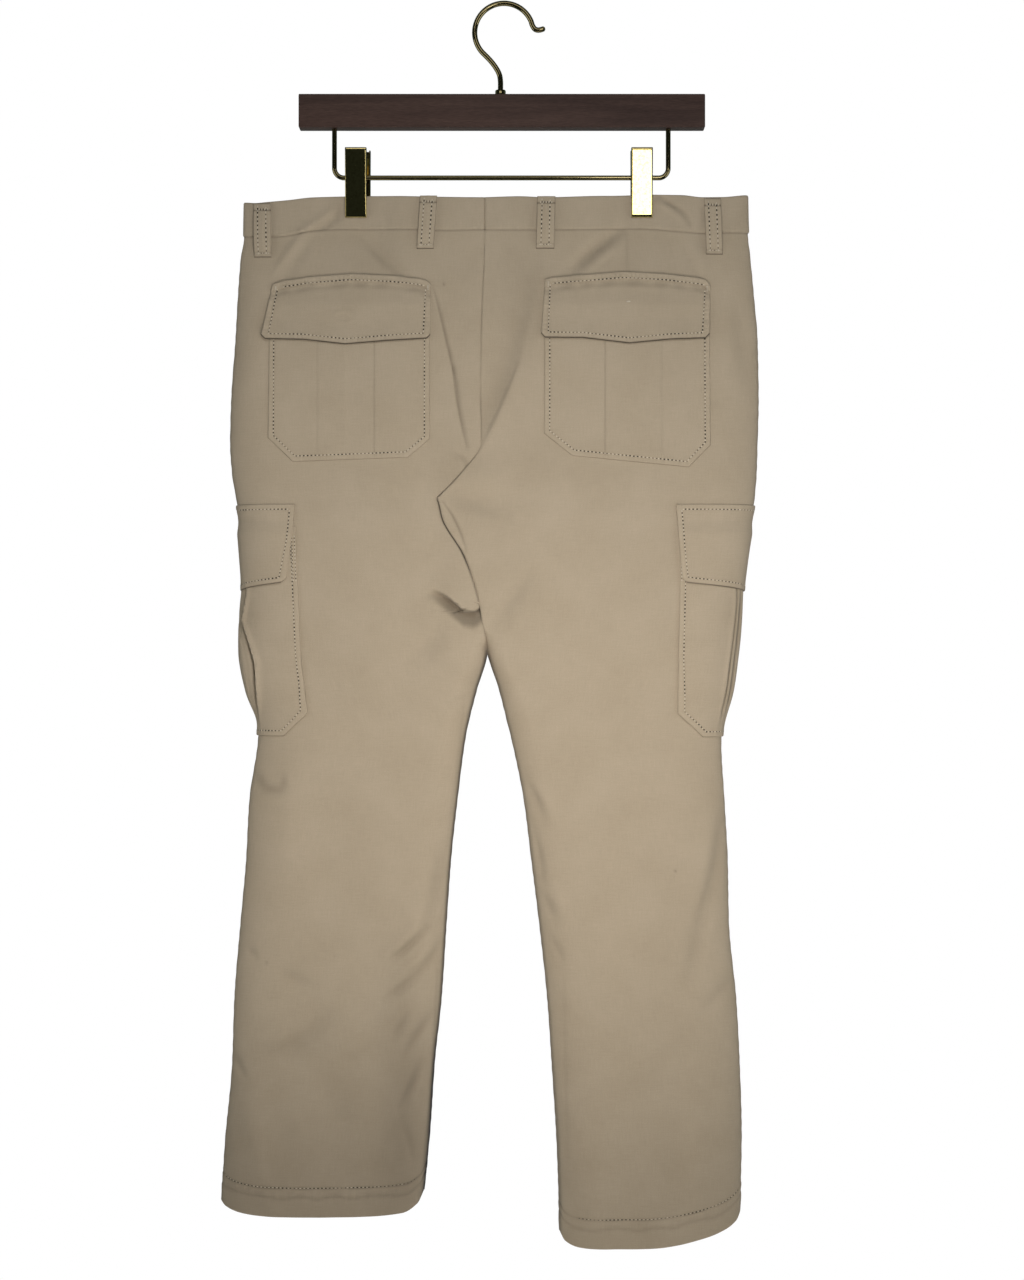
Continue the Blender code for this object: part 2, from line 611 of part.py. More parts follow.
def waist_button():
    """A turned button with a raised rim, on the front of the waistband."""
    shape = BUTTON_SHAPE
    radius = shape["radius"]
    back = face_depth("left", "front", shape["x"], shape["z"]) + BAND - CLOTH + GAP
    front = back + shape["thick"]
    turned = ((0.35, front - shape["dish"]), (0.62, front - shape["dish"]), (0.74, front),
              (0.92, front), (1.0, front - 0.9), (1.0, back + 0.6), (0.85, back), (0.35, back))
    angle = np.linspace(0, 2 * math.pi, shape["sides"], endpoint=False)
    points = [(shape["x"], front - shape["dish"], shape["z"]), (shape["x"], back, shape["z"])]
    for share, y in turned:
        points += [(shape["x"] + radius * share * math.cos(a), y, shape["z"] + radius * share * math.sin(a))
                   for a in angle]
    sides = shape["sides"]
    faces = []
    for i in range(sides):
        j = (i + 1) % sides
        faces.append((0, 2 + i, 2 + j))
        last = 2 + (len(turned) - 1) * sides
        faces.append((1, last + j, last + i))
        for ring in range(len(turned) - 1):
            a, b = 2 + ring * sides, 2 + (ring + 1) * sides
            faces.append((a + i, b + i, b + j, a + j))
    points = np.array(points) * MM
    if volume_of(points, faces) < 0:
        faces = [tuple(reversed(face)) for face in faces]
    mesh = bpy.data.meshes.new("waist_button")
    mesh.from_pydata(points.tolist(), [], faces)
    return add_object("waist_button", mesh, BUTTON)


# ---------------------------------------------------------------- hanger
def wire(name, route, diameter, sides_resolution=2):
    """A round wire with flat ends along a route of points."""
    curve = bpy.data.curves.new(name, "CURVE")
    curve.dimensions = "3D"
    curve.bevel_depth = diameter / 2 * MM
    curve.bevel_resolution = sides_resolution
    curve.use_fill_caps = True
    spline = curve.splines.new("POLY")
    spline.points.add(len(route) - 1)
    for point, (x, y, z) in zip(spline.points, route):
        point.co = (x * MM, y * MM, z * MM, 1)
    obj = bpy.data.objects.new(name, curve)
    bpy.context.scene.collection.objects.link(obj)
    curve.materials.append(finish_material(f"{name}_finish", *BRASS))
    return obj


def arc(centre, radius, start, end, steps):
    """Points on an arc in the plane of the hanger, with its angles in degrees."""
    return [(centre[0] + radius * math.cos(math.radians(a)), 0.0, centre[1] + radius * math.sin(math.radians(a)))
            for a in np.linspace(start, end, steps)]


HOOK = {"centre": (0.0, -25.0), "start": 222.0, "end": 14.0, "stem_x": -3.3}


def hanger_hook():
    """Stem, a swan neck, the round of the hook and its outturned tip."""
    radius = HOOK["centre"][1] * -1 + WIRE / 2
    foot = BAR["z1"] + GAP
    neck = [(HOOK["stem_x"], 0.0, foot), (HOOK["stem_x"], 0.0, -70.0), (-4.3, 0.0, -64.5),
            (-7.6, 0.0, -58.0), (-13.0, 0.0, -51.0)]
    round_part = arc(HOOK["centre"], radius, HOOK["start"], HOOK["end"], 19)
    tip = [(29.2, 0.0, -21.8), (33.0, 0.0, -22.6), (38.5, 0.0, -21.0)]
    return wire("hanger_hook", neck + round_part + tip, WIRE)


def turned_ring(name, axis, centre, inner_radius, outer_radius, length, finish, sides=20):
    """A plain ring about the X or the Z axis."""
    angle = np.linspace(0, 2 * math.pi, sides, endpoint=False)
    ends = (-length / 2, length / 2)
    grids = []
    for radius in (outer_radius, inner_radius):
        a, b = radius * np.cos(angle), radius * np.sin(angle)
        rows = []
        for end in ends:
            flat = np.full(sides, end)
            parts = (flat, a, b) if axis == "x" else (a, b, flat)
            rows.append(np.stack(parts, -1) + np.array(centre))
        grids.append(np.array(rows))
    return closed_wall(name, grids[0], grids[1], finish, wrap=True)


def hanger_bar():
    mesh = bpy.data.meshes.new("hanger_bar")
    corners = [(BAR[a] * MM, BAR[b] * MM, BAR[c] * MM)
               for a in ("x0", "x1") for b in ("y0", "y1") for c in ("z0", "z1")]
    faces = [(0, 1, 3, 2), (4, 6, 7, 5), (0, 4, 5, 1), (2, 3, 7, 6), (0, 2, 6, 4), (1, 5, 7, 3)]
    mesh.from_pydata(corners, [], faces)
    obj = add_object("hanger_bar", mesh, WOOD)
    bevel = obj.modifiers.new("softened_edges", "BEVEL")
    bevel.width = 1.0 * MM
    bevel.segments = 2
    return obj


def drop_rod():
    """The U of wire under the bar, which carries the two clips."""
    top = BAR["z0"] - GAP
    left, right = ROD_X
    foot = ROD_Z + ROD_BEND
    route = [(left, 0.0, top)] + arc((left + ROD_BEND, foot), ROD_BEND, 180, 270, 6)
    route += arc((right - ROD_BEND, foot), ROD_BEND, 270, 360, 6) + [(right, 0.0, top)]
    return wire("drop_rod", route, ROD)


def clip_jaw(name, centre_x, side):
    """A pressed plate whose long edges fold back towards the rod, closed at the cloth."""
    rows = np.linspace(0, 1, 8)
    z = CLIP_TOP_Z + (CLIP_FOOT_Z - CLIP_TOP_Z) * rows
    plate = np.interp(rows, (0, 0.72, 1), (GRIP_Y, JAW_GAP_Y + CLIP_SHEET + 1.6, JAW_GAP_Y + CLIP_SHEET))
    rod_clear = ROD / 2 + GAP
    flange = np.clip(plate - rod_clear - 0.4, 0, 6.0) * (1 - ease(0.45, 0.72, rows)) + 0.7
    half = CLIP_WIDE / 2
    x = np.array((-half, -half, -half + 1.2, 0.0, half - 1.2, half, half))
    drop = np.stack((flange, 0 * flange + 0.7, 0 * flange, 0 * flange, 0 * flange, 0 * flange + 0.7, flange), 1)
    y = plate[:, None] - drop
    outer = np.stack((x[None, :] + 0 * y, y * side, z[:, None] + 0 * y), -1)
    outer[..., 0] += centre_x
    in_x = np.array((-half + CLIP_SHEET, -half + CLIP_SHEET, -half + 1.8, 0.0, half - 1.8,
                     half - CLIP_SHEET, half - CLIP_SHEET))
    in_drop = np.stack((flange, 0 * flange + CLIP_SHEET + 0.5, 0 * flange + CLIP_SHEET,
                        0 * flange + CLIP_SHEET, 0 * flange + CLIP_SHEET,
                        0 * flange + CLIP_SHEET + 0.5, flange), 1)
    in_drop[:, 0] = np.maximum(in_drop[:, 0], CLIP_SHEET + 0.6)
    in_drop[:, -1] = in_drop[:, 0]
    outer[:, 0, 1] = side * (plate - in_drop[:, 0])
    outer[:, -1, 1] = side * (plate - in_drop[:, -1])
    inner = np.stack((in_x[None, :] + centre_x + 0 * y, (plate[:, None] - in_drop) * side,
                      z[:, None] + 0 * y), -1)
    return closed_wall(name, outer, inner, BRASS)


def clips():
    for side, centre_x in CLIP_X.items():
        clip_jaw(f"clip_{side}_front", centre_x, -1)
        clip_jaw(f"clip_{side}_back", centre_x + BACK_JAW_SHIFT[side], 1)
        share = (CLIP_TOP_Z - ROD_Z) / (CLIP_TOP_Z - CLIP_FOOT_Z)
        plate = np.interp(share, (0, 0.72, 1), (GRIP_Y, JAW_GAP_Y + CLIP_SHEET + 1.6, JAW_GAP_Y + CLIP_SHEET))
        turned_ring(f"clip_{side}_spring", "x", (centre_x + BACK_JAW_SHIFT[side] / 2, 0.0, ROD_Z), ROD / 2 + GAP,
                    plate - CLIP_SHEET - GAP - 0.4, CLIP_WIDE - 9.0, BRASS)


def main():
    for old in list(bpy.data.objects):
        bpy.data.objects.remove(old, do_unlink=True)
    for leg in ("left", "right"):
        for face in ("back", "front"):
            panel(leg, face)
        waistband(leg)
        back_pocket(leg)
        back_flap(leg)
        cargo_pocket(leg)
        cargo_flap(leg)
    for row in LOOPS:
        belt_loop(row)
    fly_placket()
    waist_button()
    hanger_bar()
    hanger_hook()
    turned_ring("hook_collar", "z", (HOOK["stem_x"], 0.0, BAR["z1"] + GAP + 2.5), WIRE / 2 + GAP, 5.0, 5.0, BRASS)
    drop_rod()
    clips()


main()
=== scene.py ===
# Cargo trousers in beige cotton twill, hanging by the waistband from a wooden clip hanger.
# Lengths in the dictionaries are millimetres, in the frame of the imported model:
# the garment's back faces -Y, its left leg is at -X, and the hook's inside top is the origin.
import math
from functools import partial

import bpy
import numpy as np
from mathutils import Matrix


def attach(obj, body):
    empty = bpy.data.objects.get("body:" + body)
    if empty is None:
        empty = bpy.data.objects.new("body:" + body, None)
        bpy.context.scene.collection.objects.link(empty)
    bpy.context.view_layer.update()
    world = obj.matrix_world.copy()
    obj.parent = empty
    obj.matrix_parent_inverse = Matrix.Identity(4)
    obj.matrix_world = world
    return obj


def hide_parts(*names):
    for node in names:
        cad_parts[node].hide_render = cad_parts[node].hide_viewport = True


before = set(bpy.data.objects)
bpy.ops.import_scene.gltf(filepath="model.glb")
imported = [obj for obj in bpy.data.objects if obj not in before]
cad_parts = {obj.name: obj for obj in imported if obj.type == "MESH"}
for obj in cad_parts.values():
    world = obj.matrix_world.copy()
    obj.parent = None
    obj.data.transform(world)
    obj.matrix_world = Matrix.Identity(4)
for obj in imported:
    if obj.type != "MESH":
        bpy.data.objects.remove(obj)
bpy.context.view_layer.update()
mm = 0.001


def hexColour(code):
    # sRGB hex to linear: (c / 12.92) below 0.04045, else ((c + 0.055) / 1.055) ^ 2.4
    parts = [int(code[i:i + 2], 16) / 255 for i in (1, 3, 5)]
    linear = [c / 12.92 if c <= 0.04045 else ((c + 0.055) / 1.055) ** 2.4 for c in parts]
    return (*linear, 1.0)


def addNode(tree, kind, sockets=None, **settings):
    # a node given for a socket stands for its first output
    node = tree.nodes.new("ShaderNode" + kind)
    for name, value in settings.items():
        setattr(node, name, value)
    for name, value in (sockets or {}).items():
        value = value.outputs[0] if isinstance(value, bpy.types.Node) else value
        if isinstance(value, bpy.types.NodeSocket):
            tree.links.new(value, node.inputs[name])
        else:
            node.inputs[name].default_value = value
    return node


def newMaterial(name):
    material = bpy.data.materials.new(name)
    material.use_nodes = True
    material.node_tree.nodes.clear()
    return material, material.node_tree


twill = {
    "cloth": "#B5A792", "shade": "#A3957E", "pale": "#C0B39F",
    "wale": 0.85,            # mm from one diagonal rib to the next
    "relief": 0.16, "roughness": 0.9, "sheen": 0.12,
    "slubLong": 14.0, "slubFine": 0.9,       # mm: how long and how fine a thick place in a thread is
}


def cottonTwill():
    # Dry, matt cotton: fine diagonal ribs, slubby thread colour, and what the tone attribute says: seams a
    # little darker in their grooves, as painted shade, and paler on their worn edges; painted shade in
    # folds and under flaps, and painted light on some ridges.
    material, tree = newMaterial("beigeCottonTwill")
    grain = addNode(tree, "UVMap", uv_map="clothGrain")
    inMm = addNode(tree, "Mapping", {"Vector": grain, "Scale": (1000, 1000, 1000)})
    ribs = addNode(tree, "TexWave", {"Vector": inMm, "Scale": 0.628 / twill["wale"], "Distortion": 1.6,
                                     "Detail": 1.0, "Detail Scale": 0.5},
                   wave_type="BANDS", bands_direction="DIAGONAL").outputs["Fac"]
    slubs = addNode(tree, "TexNoise", {"Vector": inMm, "Scale": 0.9, "Detail": 3.0, "Roughness": 0.65})
    streaks = []
    for long, fine in ((twill["slubLong"], twill["slubFine"]), (twill["slubFine"], twill["slubLong"])):
        stretched = addNode(tree, "Mapping", {"Vector": inMm, "Scale": (1 / long, 1 / fine, 1.0)})
        streaks.append(addNode(tree, "TexNoise", {"Vector": stretched, "Scale": 1.0, "Detail": 2.0}))
    weave = addNode(tree, "Math", {0: streaks[0], 1: streaks[1]}, operation="ADD")
    wander = addNode(tree, "TexNoise", {"Vector": inMm, "Scale": 0.022, "Detail": 3.0, "Roughness": 0.55})
    spread = addNode(tree, "Math", {0: wander, 1: slubs}, operation="ADD")
    blend = addNode(tree, "MapRange", {"Value": spread, "From Min": 0.72, "From Max": 1.28})
    colour = addNode(tree, "Mix", {"Factor": blend, 6: hexColour(twill["shade"]),
                                   7: hexColour(twill["pale"])}, data_type="RGBA")
    between = addNode(tree, "Mix", {"Factor": 0.3, 6: hexColour(twill["cloth"]), 7: colour.outputs[2]},
                      data_type="RGBA")
    tone = addNode(tree, "Attribute", attribute_name="tone", attribute_type="GEOMETRY").outputs["Fac"]
    ribTone = addNode(tree, "MapRange", {"Value": ribs, "To Min": 0.955, "To Max": 1.03})
    slubTone = addNode(tree, "MapRange", {"Value": weave, "From Min": 0.7, "From Max": 1.3,
                                          "To Min": 0.96, "To Max": 1.04})
    ribbed = addNode(tree, "Math", {0: tone, 1: ribTone}, operation="MULTIPLY")
    scale = addNode(tree, "Math", {0: ribbed, 1: slubTone}, operation="MULTIPLY")
    toned = addNode(tree, "VectorMath", {0: between.outputs[2], "Scale": scale}, operation="SCALE")
    rough = addNode(tree, "Math", {0: ribs, 1: slubs}, operation="ADD")
    bump = addNode(tree, "Bump", {"Strength": 0.5, "Distance": twill["relief"] * mm, "Height": rough})
    shader = addNode(tree, "BsdfPrincipled",
                     {"Base Color": toned, "Roughness": twill["roughness"], "Sheen Weight": twill["sheen"],
                      "Sheen Roughness": 0.5, "Specular IOR Level": 0.25, "Normal": bump})
    addNode(tree, "OutputMaterial", {"Surface": shader})
    return material


# hole: the colour of the dark cones that stand as painted shade in the needle holes
thread = {"colour": "#CDC3AF", "pale": "#CCC4B3", "hole": "#3A3328", "roughness": 0.6}


def spunThread(name, colour):
    # Spun polyester thread: duller than silk, a soft gleam along the twist, tone changing stitch by stitch.
    material, tree = newMaterial(name)
    place = addNode(tree, "TexCoord").outputs["Object"]
    twist = addNode(tree, "TexNoise", {"Vector": place, "Scale": 900.0, "Detail": 1.0})
    tint = addNode(tree, "MapRange", {"Value": twist, "To Min": 0.8, "To Max": 1.15})
    toned = addNode(tree, "VectorMath", {0: hexColour(colour)[:3], "Scale": tint}, operation="SCALE")
    shader = addNode(tree, "BsdfPrincipled",
                     {"Base Color": toned, "Roughness": thread["roughness"], "Sheen Weight": 0.2})
    addNode(tree, "OutputMaterial", {"Surface": shader})
    return material


wood = {"dark": "#362A28", "light": "#57453F", "grainLong": 260.0, "grainFine": 13.2, "roughness": 0.46}


def stainedWood():
    # Close-grained beech stained dark brown under a thin matt lacquer: long streaks, small pores.
    material, tree = newMaterial("darkStainedWood")
    place = addNode(tree, "TexCoord").outputs["Object"]
    fine = 1000 / wood["grainFine"]
    along = addNode(tree, "Mapping", {"Vector": place, "Scale": (1000 / wood["grainLong"], fine, fine)})
    streaks = addNode(tree, "TexNoise", {"Vector": along, "Scale": 1.0, "Detail": 5.0, "Roughness": 0.6,
                                         "Distortion": 0.4})
    poreMap = addNode(tree, "Mapping", {"Vector": place, "Scale": (140.0, 1900.0, 1900.0)})
    pores = addNode(tree, "TexNoise", {"Vector": poreMap, "Scale": 1.0, "Detail": 2.0})
    stretch = addNode(tree, "MapRange", {"Value": streaks, "From Min": 0.3, "From Max": 0.72})
    colour = addNode(tree, "Mix", {"Factor": stretch, 6: hexColour(wood["dark"]),
                                   7: hexColour(wood["light"])}, data_type="RGBA")
    poreTone = addNode(tree, "MapRange", {"Value": pores, "From Min": 0.35, "From Max": 0.6,
                                          "To Min": 0.8, "To Max": 1.05})
    toned = addNode(tree, "VectorMath", {0: colour.outputs[2], "Scale": poreTone}, operation="SCALE")
    bump = addNode(tree, "Bump", {"Strength": 0.25, "Distance": 0.05 * mm, "Height": pores})
    shader = addNode(tree, "BsdfPrincipled", {"Base Color": toned, "Roughness": wood["roughness"],
                                              "Specular IOR Level": 0.1, "Normal": bump})
    addNode(tree, "OutputMaterial", {"Surface": shader})
    return material


brass = {"gold": "#C6B57C", "tarnish": "#8C7D4C", "wire": "#8A7F5C"}


def goldPlate(name, gold, mottle):
    # Thin yellow plating on pressed steel: bright, slightly pitted, browner where handled.
    material, tree = newMaterial(name)
    place = addNode(tree, "TexCoord").outputs["Object"]
    pits = addNode(tree, "TexNoise", {"Vector": place, "Scale": 420.0, "Detail": 4.0, "Roughness": 0.7})
    cloudy = addNode(tree, "MapRange", {"Value": pits, "From Min": 0.4, "From Max": 0.75,
                                        "To Max": 4 * mottle})
    colour = addNode(tree, "Mix", {"Factor": cloudy, 6: hexColour(gold), 7: hexColour(brass["tarnish"])},
                     data_type="RGBA")
    rub = addNode(tree, "MapRange", {"Value": pits, "To Min": 0.07, "To Max": 0.15})
    bump = addNode(tree, "Bump", {"Strength": mottle, "Distance": 0.05 * mm, "Height": pits})
    shader = addNode(tree, "BsdfPrincipled", {"Base Color": colour.outputs[2], "Metallic": 1.0,
                                              "Roughness": rub, "Normal": bump})
    addNode(tree, "OutputMaterial", {"Surface": shader})
    return material


horn = {"dark": "#4A3A28", "vein": "#8A7354", "roughness": 0.32}


def hornButton():
    # Cast horn-look resin: brown with drifting paler veins under a worn polish.
    material, tree = newMaterial("brownHornButton")
    place = addNode(tree, "TexCoord").outputs["Object"]
    veins = addNode(tree, "TexNoise", {"Vector": place, "Scale": 160.0, "Detail": 3.0, "Distortion": 1.2})
    colour = addNode(tree, "Mix", {"Factor": veins, 6: hexColour(horn["dark"]),
                                   7: hexColour(horn["vein"])}, data_type="RGBA")
    shader = addNode(tree, "BsdfPrincipled",
                     {"Base Color": colour.outputs[2], "Roughness": horn["roughness"]})
    addNode(tree, "OutputMaterial", {"Surface": shader})
    return material


twillMaterial = cottonTwill()
threadMaterial = spunThread("beigeThread", thread["colour"])
paleThreadMaterial = spunThread("paleTackThread", thread["pale"])
# the needle holes: thread material in a dark colour, as painted shade in the holes
holeMaterial = spunThread("shadedNeedleHoles", thread["hole"])
woodMaterial = stainedWood()
wireMaterial = goldPlate("goldPlatedWire", brass["wire"], 0.04)
plateMaterial = goldPlate("goldPlatedSheet", brass["gold"], 0.22)
buttonMaterial = hornButton()
print("materials ready")


def gridFaces(rows, columns, closed=False):
    number = np.arange(rows * columns).reshape(rows, columns)
    if closed:
        number = np.concatenate((number, number[:, :1]), 1)
    corners = (number[:-1, :-1], number[1:, :-1], number[1:, 1:], number[:-1, 1:])
    return np.stack(corners, -1).reshape(-1, 4)


def facingOut(points, normal, faces, tested):
    # the faces, reversed where the tested ones look against the normals at their first corners
    a, b, c = points[faces[:, 0]], points[faces[:, 1]], points[faces[:, 2]]
    facing = np.sum((np.cross(b - a, c - a) * normal[faces[:, 0]])[tested])
    return faces[:, ::-1] if facing < 0 else faces


def addPiece(name, points, faces, material, grain=None, tone=None, nodes=(), sharp=50):
    # points and grain in mm; tone is 1 where the cloth keeps its own colour
    mesh = bpy.data.meshes.new(name)
    mesh.from_pydata((points * mm).tolist(), [], faces.tolist() if isinstance(faces, np.ndarray) else faces)
    mesh.materials.append(material)
    mesh.shade_smooth()
    if grain is not None:
        layer = mesh.uv_layers.new(name="clothGrain")
        corner = np.empty(len(mesh.loops), np.int32)
        mesh.loops.foreach_get("vertex_index", corner)
        layer.data.foreach_set("uv", (grain[corner] * mm).astype(np.float32).ravel())
        strength = mesh.attributes.new("tone", "FLOAT", "POINT")
        strength.data.foreach_set("value", tone.astype(np.float32))
    mesh.set_sharp_from_angle(angle=math.radians(sharp))
    piece = bpy.data.objects.new(name, mesh)
    bpy.context.scene.collection.objects.link(piece)
    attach(piece, "root")
    if nodes:
        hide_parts(*nodes)
    return piece


def unit(vectors):
    return vectors / np.maximum(np.linalg.norm(vectors, axis=-1, keepdims=True), 1e-9)


def gridNormals(points):
    return unit(np.cross(np.gradient(points, axis=1), np.gradient(points, axis=0)))


def smoothStep(low, high, value):
    t = np.clip((np.asarray(value, float) - low) / (high - low), 0, 1)
    return t * t * (3 - 2 * t)


def bell(value, wide):
    # 1 where the value is 0, fading to both sides over the width: exp(-(value / wide)^2)
    return np.exp(-(value / wide) ** 2)


def ripple(t, pitch, seed):
    # a sine of the given pitch whose phase is shaken by two slower sines, so no two waves match
    turn = 2 * math.pi * np.asarray(t, float)
    shaken = 1.4 * np.sin(turn / (3.7 * pitch) + seed) + 0.9 * np.sin(turn / (8.3 * pitch) + 2.1 * seed)
    return np.sin(turn / pitch + shaken)


def smoothColumn(table, name, at):
    # monotone cubic through one column of a table, so that it never overshoots a row
    column = table["columns"].index(name)
    rows = sorted(table["rows"], key=lambda row: row[0])
    knots = np.array([row[0] for row in rows], float)
    values = np.array([row[column] for row in rows], float)
    step = np.diff(knots)
    slope = np.diff(values) / step
    sameWay = slope[:-1] * slope[1:] > 0
    total = np.where(sameWay, slope[:-1] + slope[1:], 1.0)
    inner = np.where(sameWay, 2 * slope[:-1] * slope[1:] / total, 0.0)
    tangent = np.concatenate((slope[:1], inner, slope[-1:]))
    at = np.clip(np.asarray(at, float), knots[0], knots[-1])
    cell = np.clip(np.searchsorted(knots, at) - 1, 0, len(step) - 1)
    wide = step[cell]
    t = (at - knots[cell]) / wide
    return ((2 * t**3 - 3 * t**2 + 1) * values[cell] + (t**3 - 2 * t**2 + t) * wide * tangent[cell]
            + (3 * t**2 - 2 * t**3) * values[cell + 1] + (t**3 - t**2) * wide * tangent[cell + 1])


# each row: the outlines of the legs seen from behind, the half depths of back and front,
# and the widths over which the outer and inner edges round off
outline = {
    "columns": ("z", "leftOut", "leftIn", "rightIn", "rightOut", "back", "front", "outerRound",
                "innerRound"),
    "rows": (
        (-170, -243, -18, -18, 228, 7, 6, 26, 2), (-212, -244, -18, -18, 229, 8, 7, 26, 2),
        (-231, -247, -18, -18, 231, 9, 8, 27, 2), (-276, -250, -20, -20, 235, 12, 9, 30, 2),
        (-313, -252, -21, -21, 238, 14, 10, 32, 2), (-370, -256, -22, -22, 239, 16, 12, 36, 2),
        (-410, -257, -21, -21, 238, 18, 14, 39, 2), (-440, -255, -40, -40, 237, 20, 16, 41, 2),
        (-460, -251.6, -59.2, -59.2, 235.3, 21, 17, 42, 3), (-463, -251, -62, -62, 235, 21, 17, 42, 3),
        (-466, -250.5, -60.8, -60.8, 234.6, 21.2, 17.2, 42, 3), (-482, -248, -57, -57, 232, 22, 18, 43, 4),
        (-517, -245, -37, -37, 226, 22, 19, 45, 6), (-557, -243, -24, -24, 221, 22, 20, 47, 10),
        (-604, -243, -16, -16, 216, 22, 20, 48, 16), (-642, -237, -26, -4, 211, 21, 19, 49, 20),
        (-674, -230, -34, 4, 205, 20, 18, 50, 26), (-690, -231, -37, 8, 204, 19, 18, 49, 28),
        (-745, -239, -44, 19, 207, 19, 18, 46, 31), (-801, -242, -50, 26, 210, 20, 19, 45, 33),
        (-857, -247, -54, 33, 211, 21, 20, 46, 35), (-932, -253, -59, 41, 218, 23, 22, 49, 38),
        (-989, -255, -65, 45, 221, 24, 23, 51, 40), (-1064, -262, -70, 50, 223, 26, 25, 54, 43),
        (-1120, -265, -76, 52, 222, 27, 26, 56, 46), (-1160, -266, -79, 53, 220, 28, 27, 58, 48),
    ),
}
waistLine = {
    "columns": ("x", "top", "seam"),
    "rows": (
        (-244, -184.6, -217.0), (-232, -186.0, -217.6), (-218, -185.0, -218.0), (-202, -183.6, -217.0),
        (-179, -180.8, -212.5), (-153, -179.2, -210.0), (-125, -178.8, -210.2), (-84, -179.9, -211.0),
        (-60, -180.4, -211.9), (-23, -180.8, -211.2), (15, -179.9, -211.4), (38, -180.8, -211.3),
        (77, -179.8, -211.0), (120, -178.0, -209.5), (140, -177.4, -210.0), (165, -178.4, -212.8),
        (186, -180.8, -214.7), (205, -180.6, -214.2), (227, -178.0, -213.7),
    ),
}
cut = {
    "centreX": -18.0, "waistZ": -212.0, "forkTopZ": -425.0, "forkZ": -470.0, "legsPartZ": -604.0,
    "hemDeep": 29.0, "groove": 0.45, "underlap": 7.0,
    "hems": {
        "left": {"outer": -1118.0, "inner": -1109.0, "front": 3.0},
        "right": {"outer": -1128.0, "inner": -1147.0, "front": 4.0},
    },
    # between which heights the right half of the back begins and ceases to lie over the left
    "lapFrom": (-411.0, -424.0), "lapTo": (-582.0, -606.0),
    "clips": {"left": -138.5, "right": 129.0}, "pinch": 0.72, "pinchWide": 36.0, "pinchTall": 62.0,
    "seeds": {"backLeft": 0.4, "backRight": 1.9, "frontLeft": 3.1, "frontRight": 4.6},
    "turnSteps": 60, "acrossSteps": 230, "hemReach": 190.0,
}
# where the right half of the back lies over the left: how thick its edge is, and how dark the painted shade
# along it
lapEdge = {
    "columns": ("z", "step", "dark"),
    "rows": ((-411, 1.0, 0.1), (-440, 1.1, 0.15), (-461, 1.5, 0.2), (-469, 2.3, 0.7), (-514, 2.4, 0.9),
             (-540, 1.6, 0.35), (-606, 1.5, 0.4)),
}
# how far the back's hem hangs below a straight line from its outer to its inner corner
hemDrop = {
    "columns": ("share", "left", "right"),
    "rows": (
        (0, 0, 0), (0.03, 4.5, 7.5), (0.1, 9.0, 13.0), (0.2, 11.8, 16.5), (0.46, 15.2, 20.6),
        (0.71, 16.8, 17.2), (0.9, 16.0, 13.0), (0.97, 10.0, 8.0), (1, 0, 0),
    ),
}
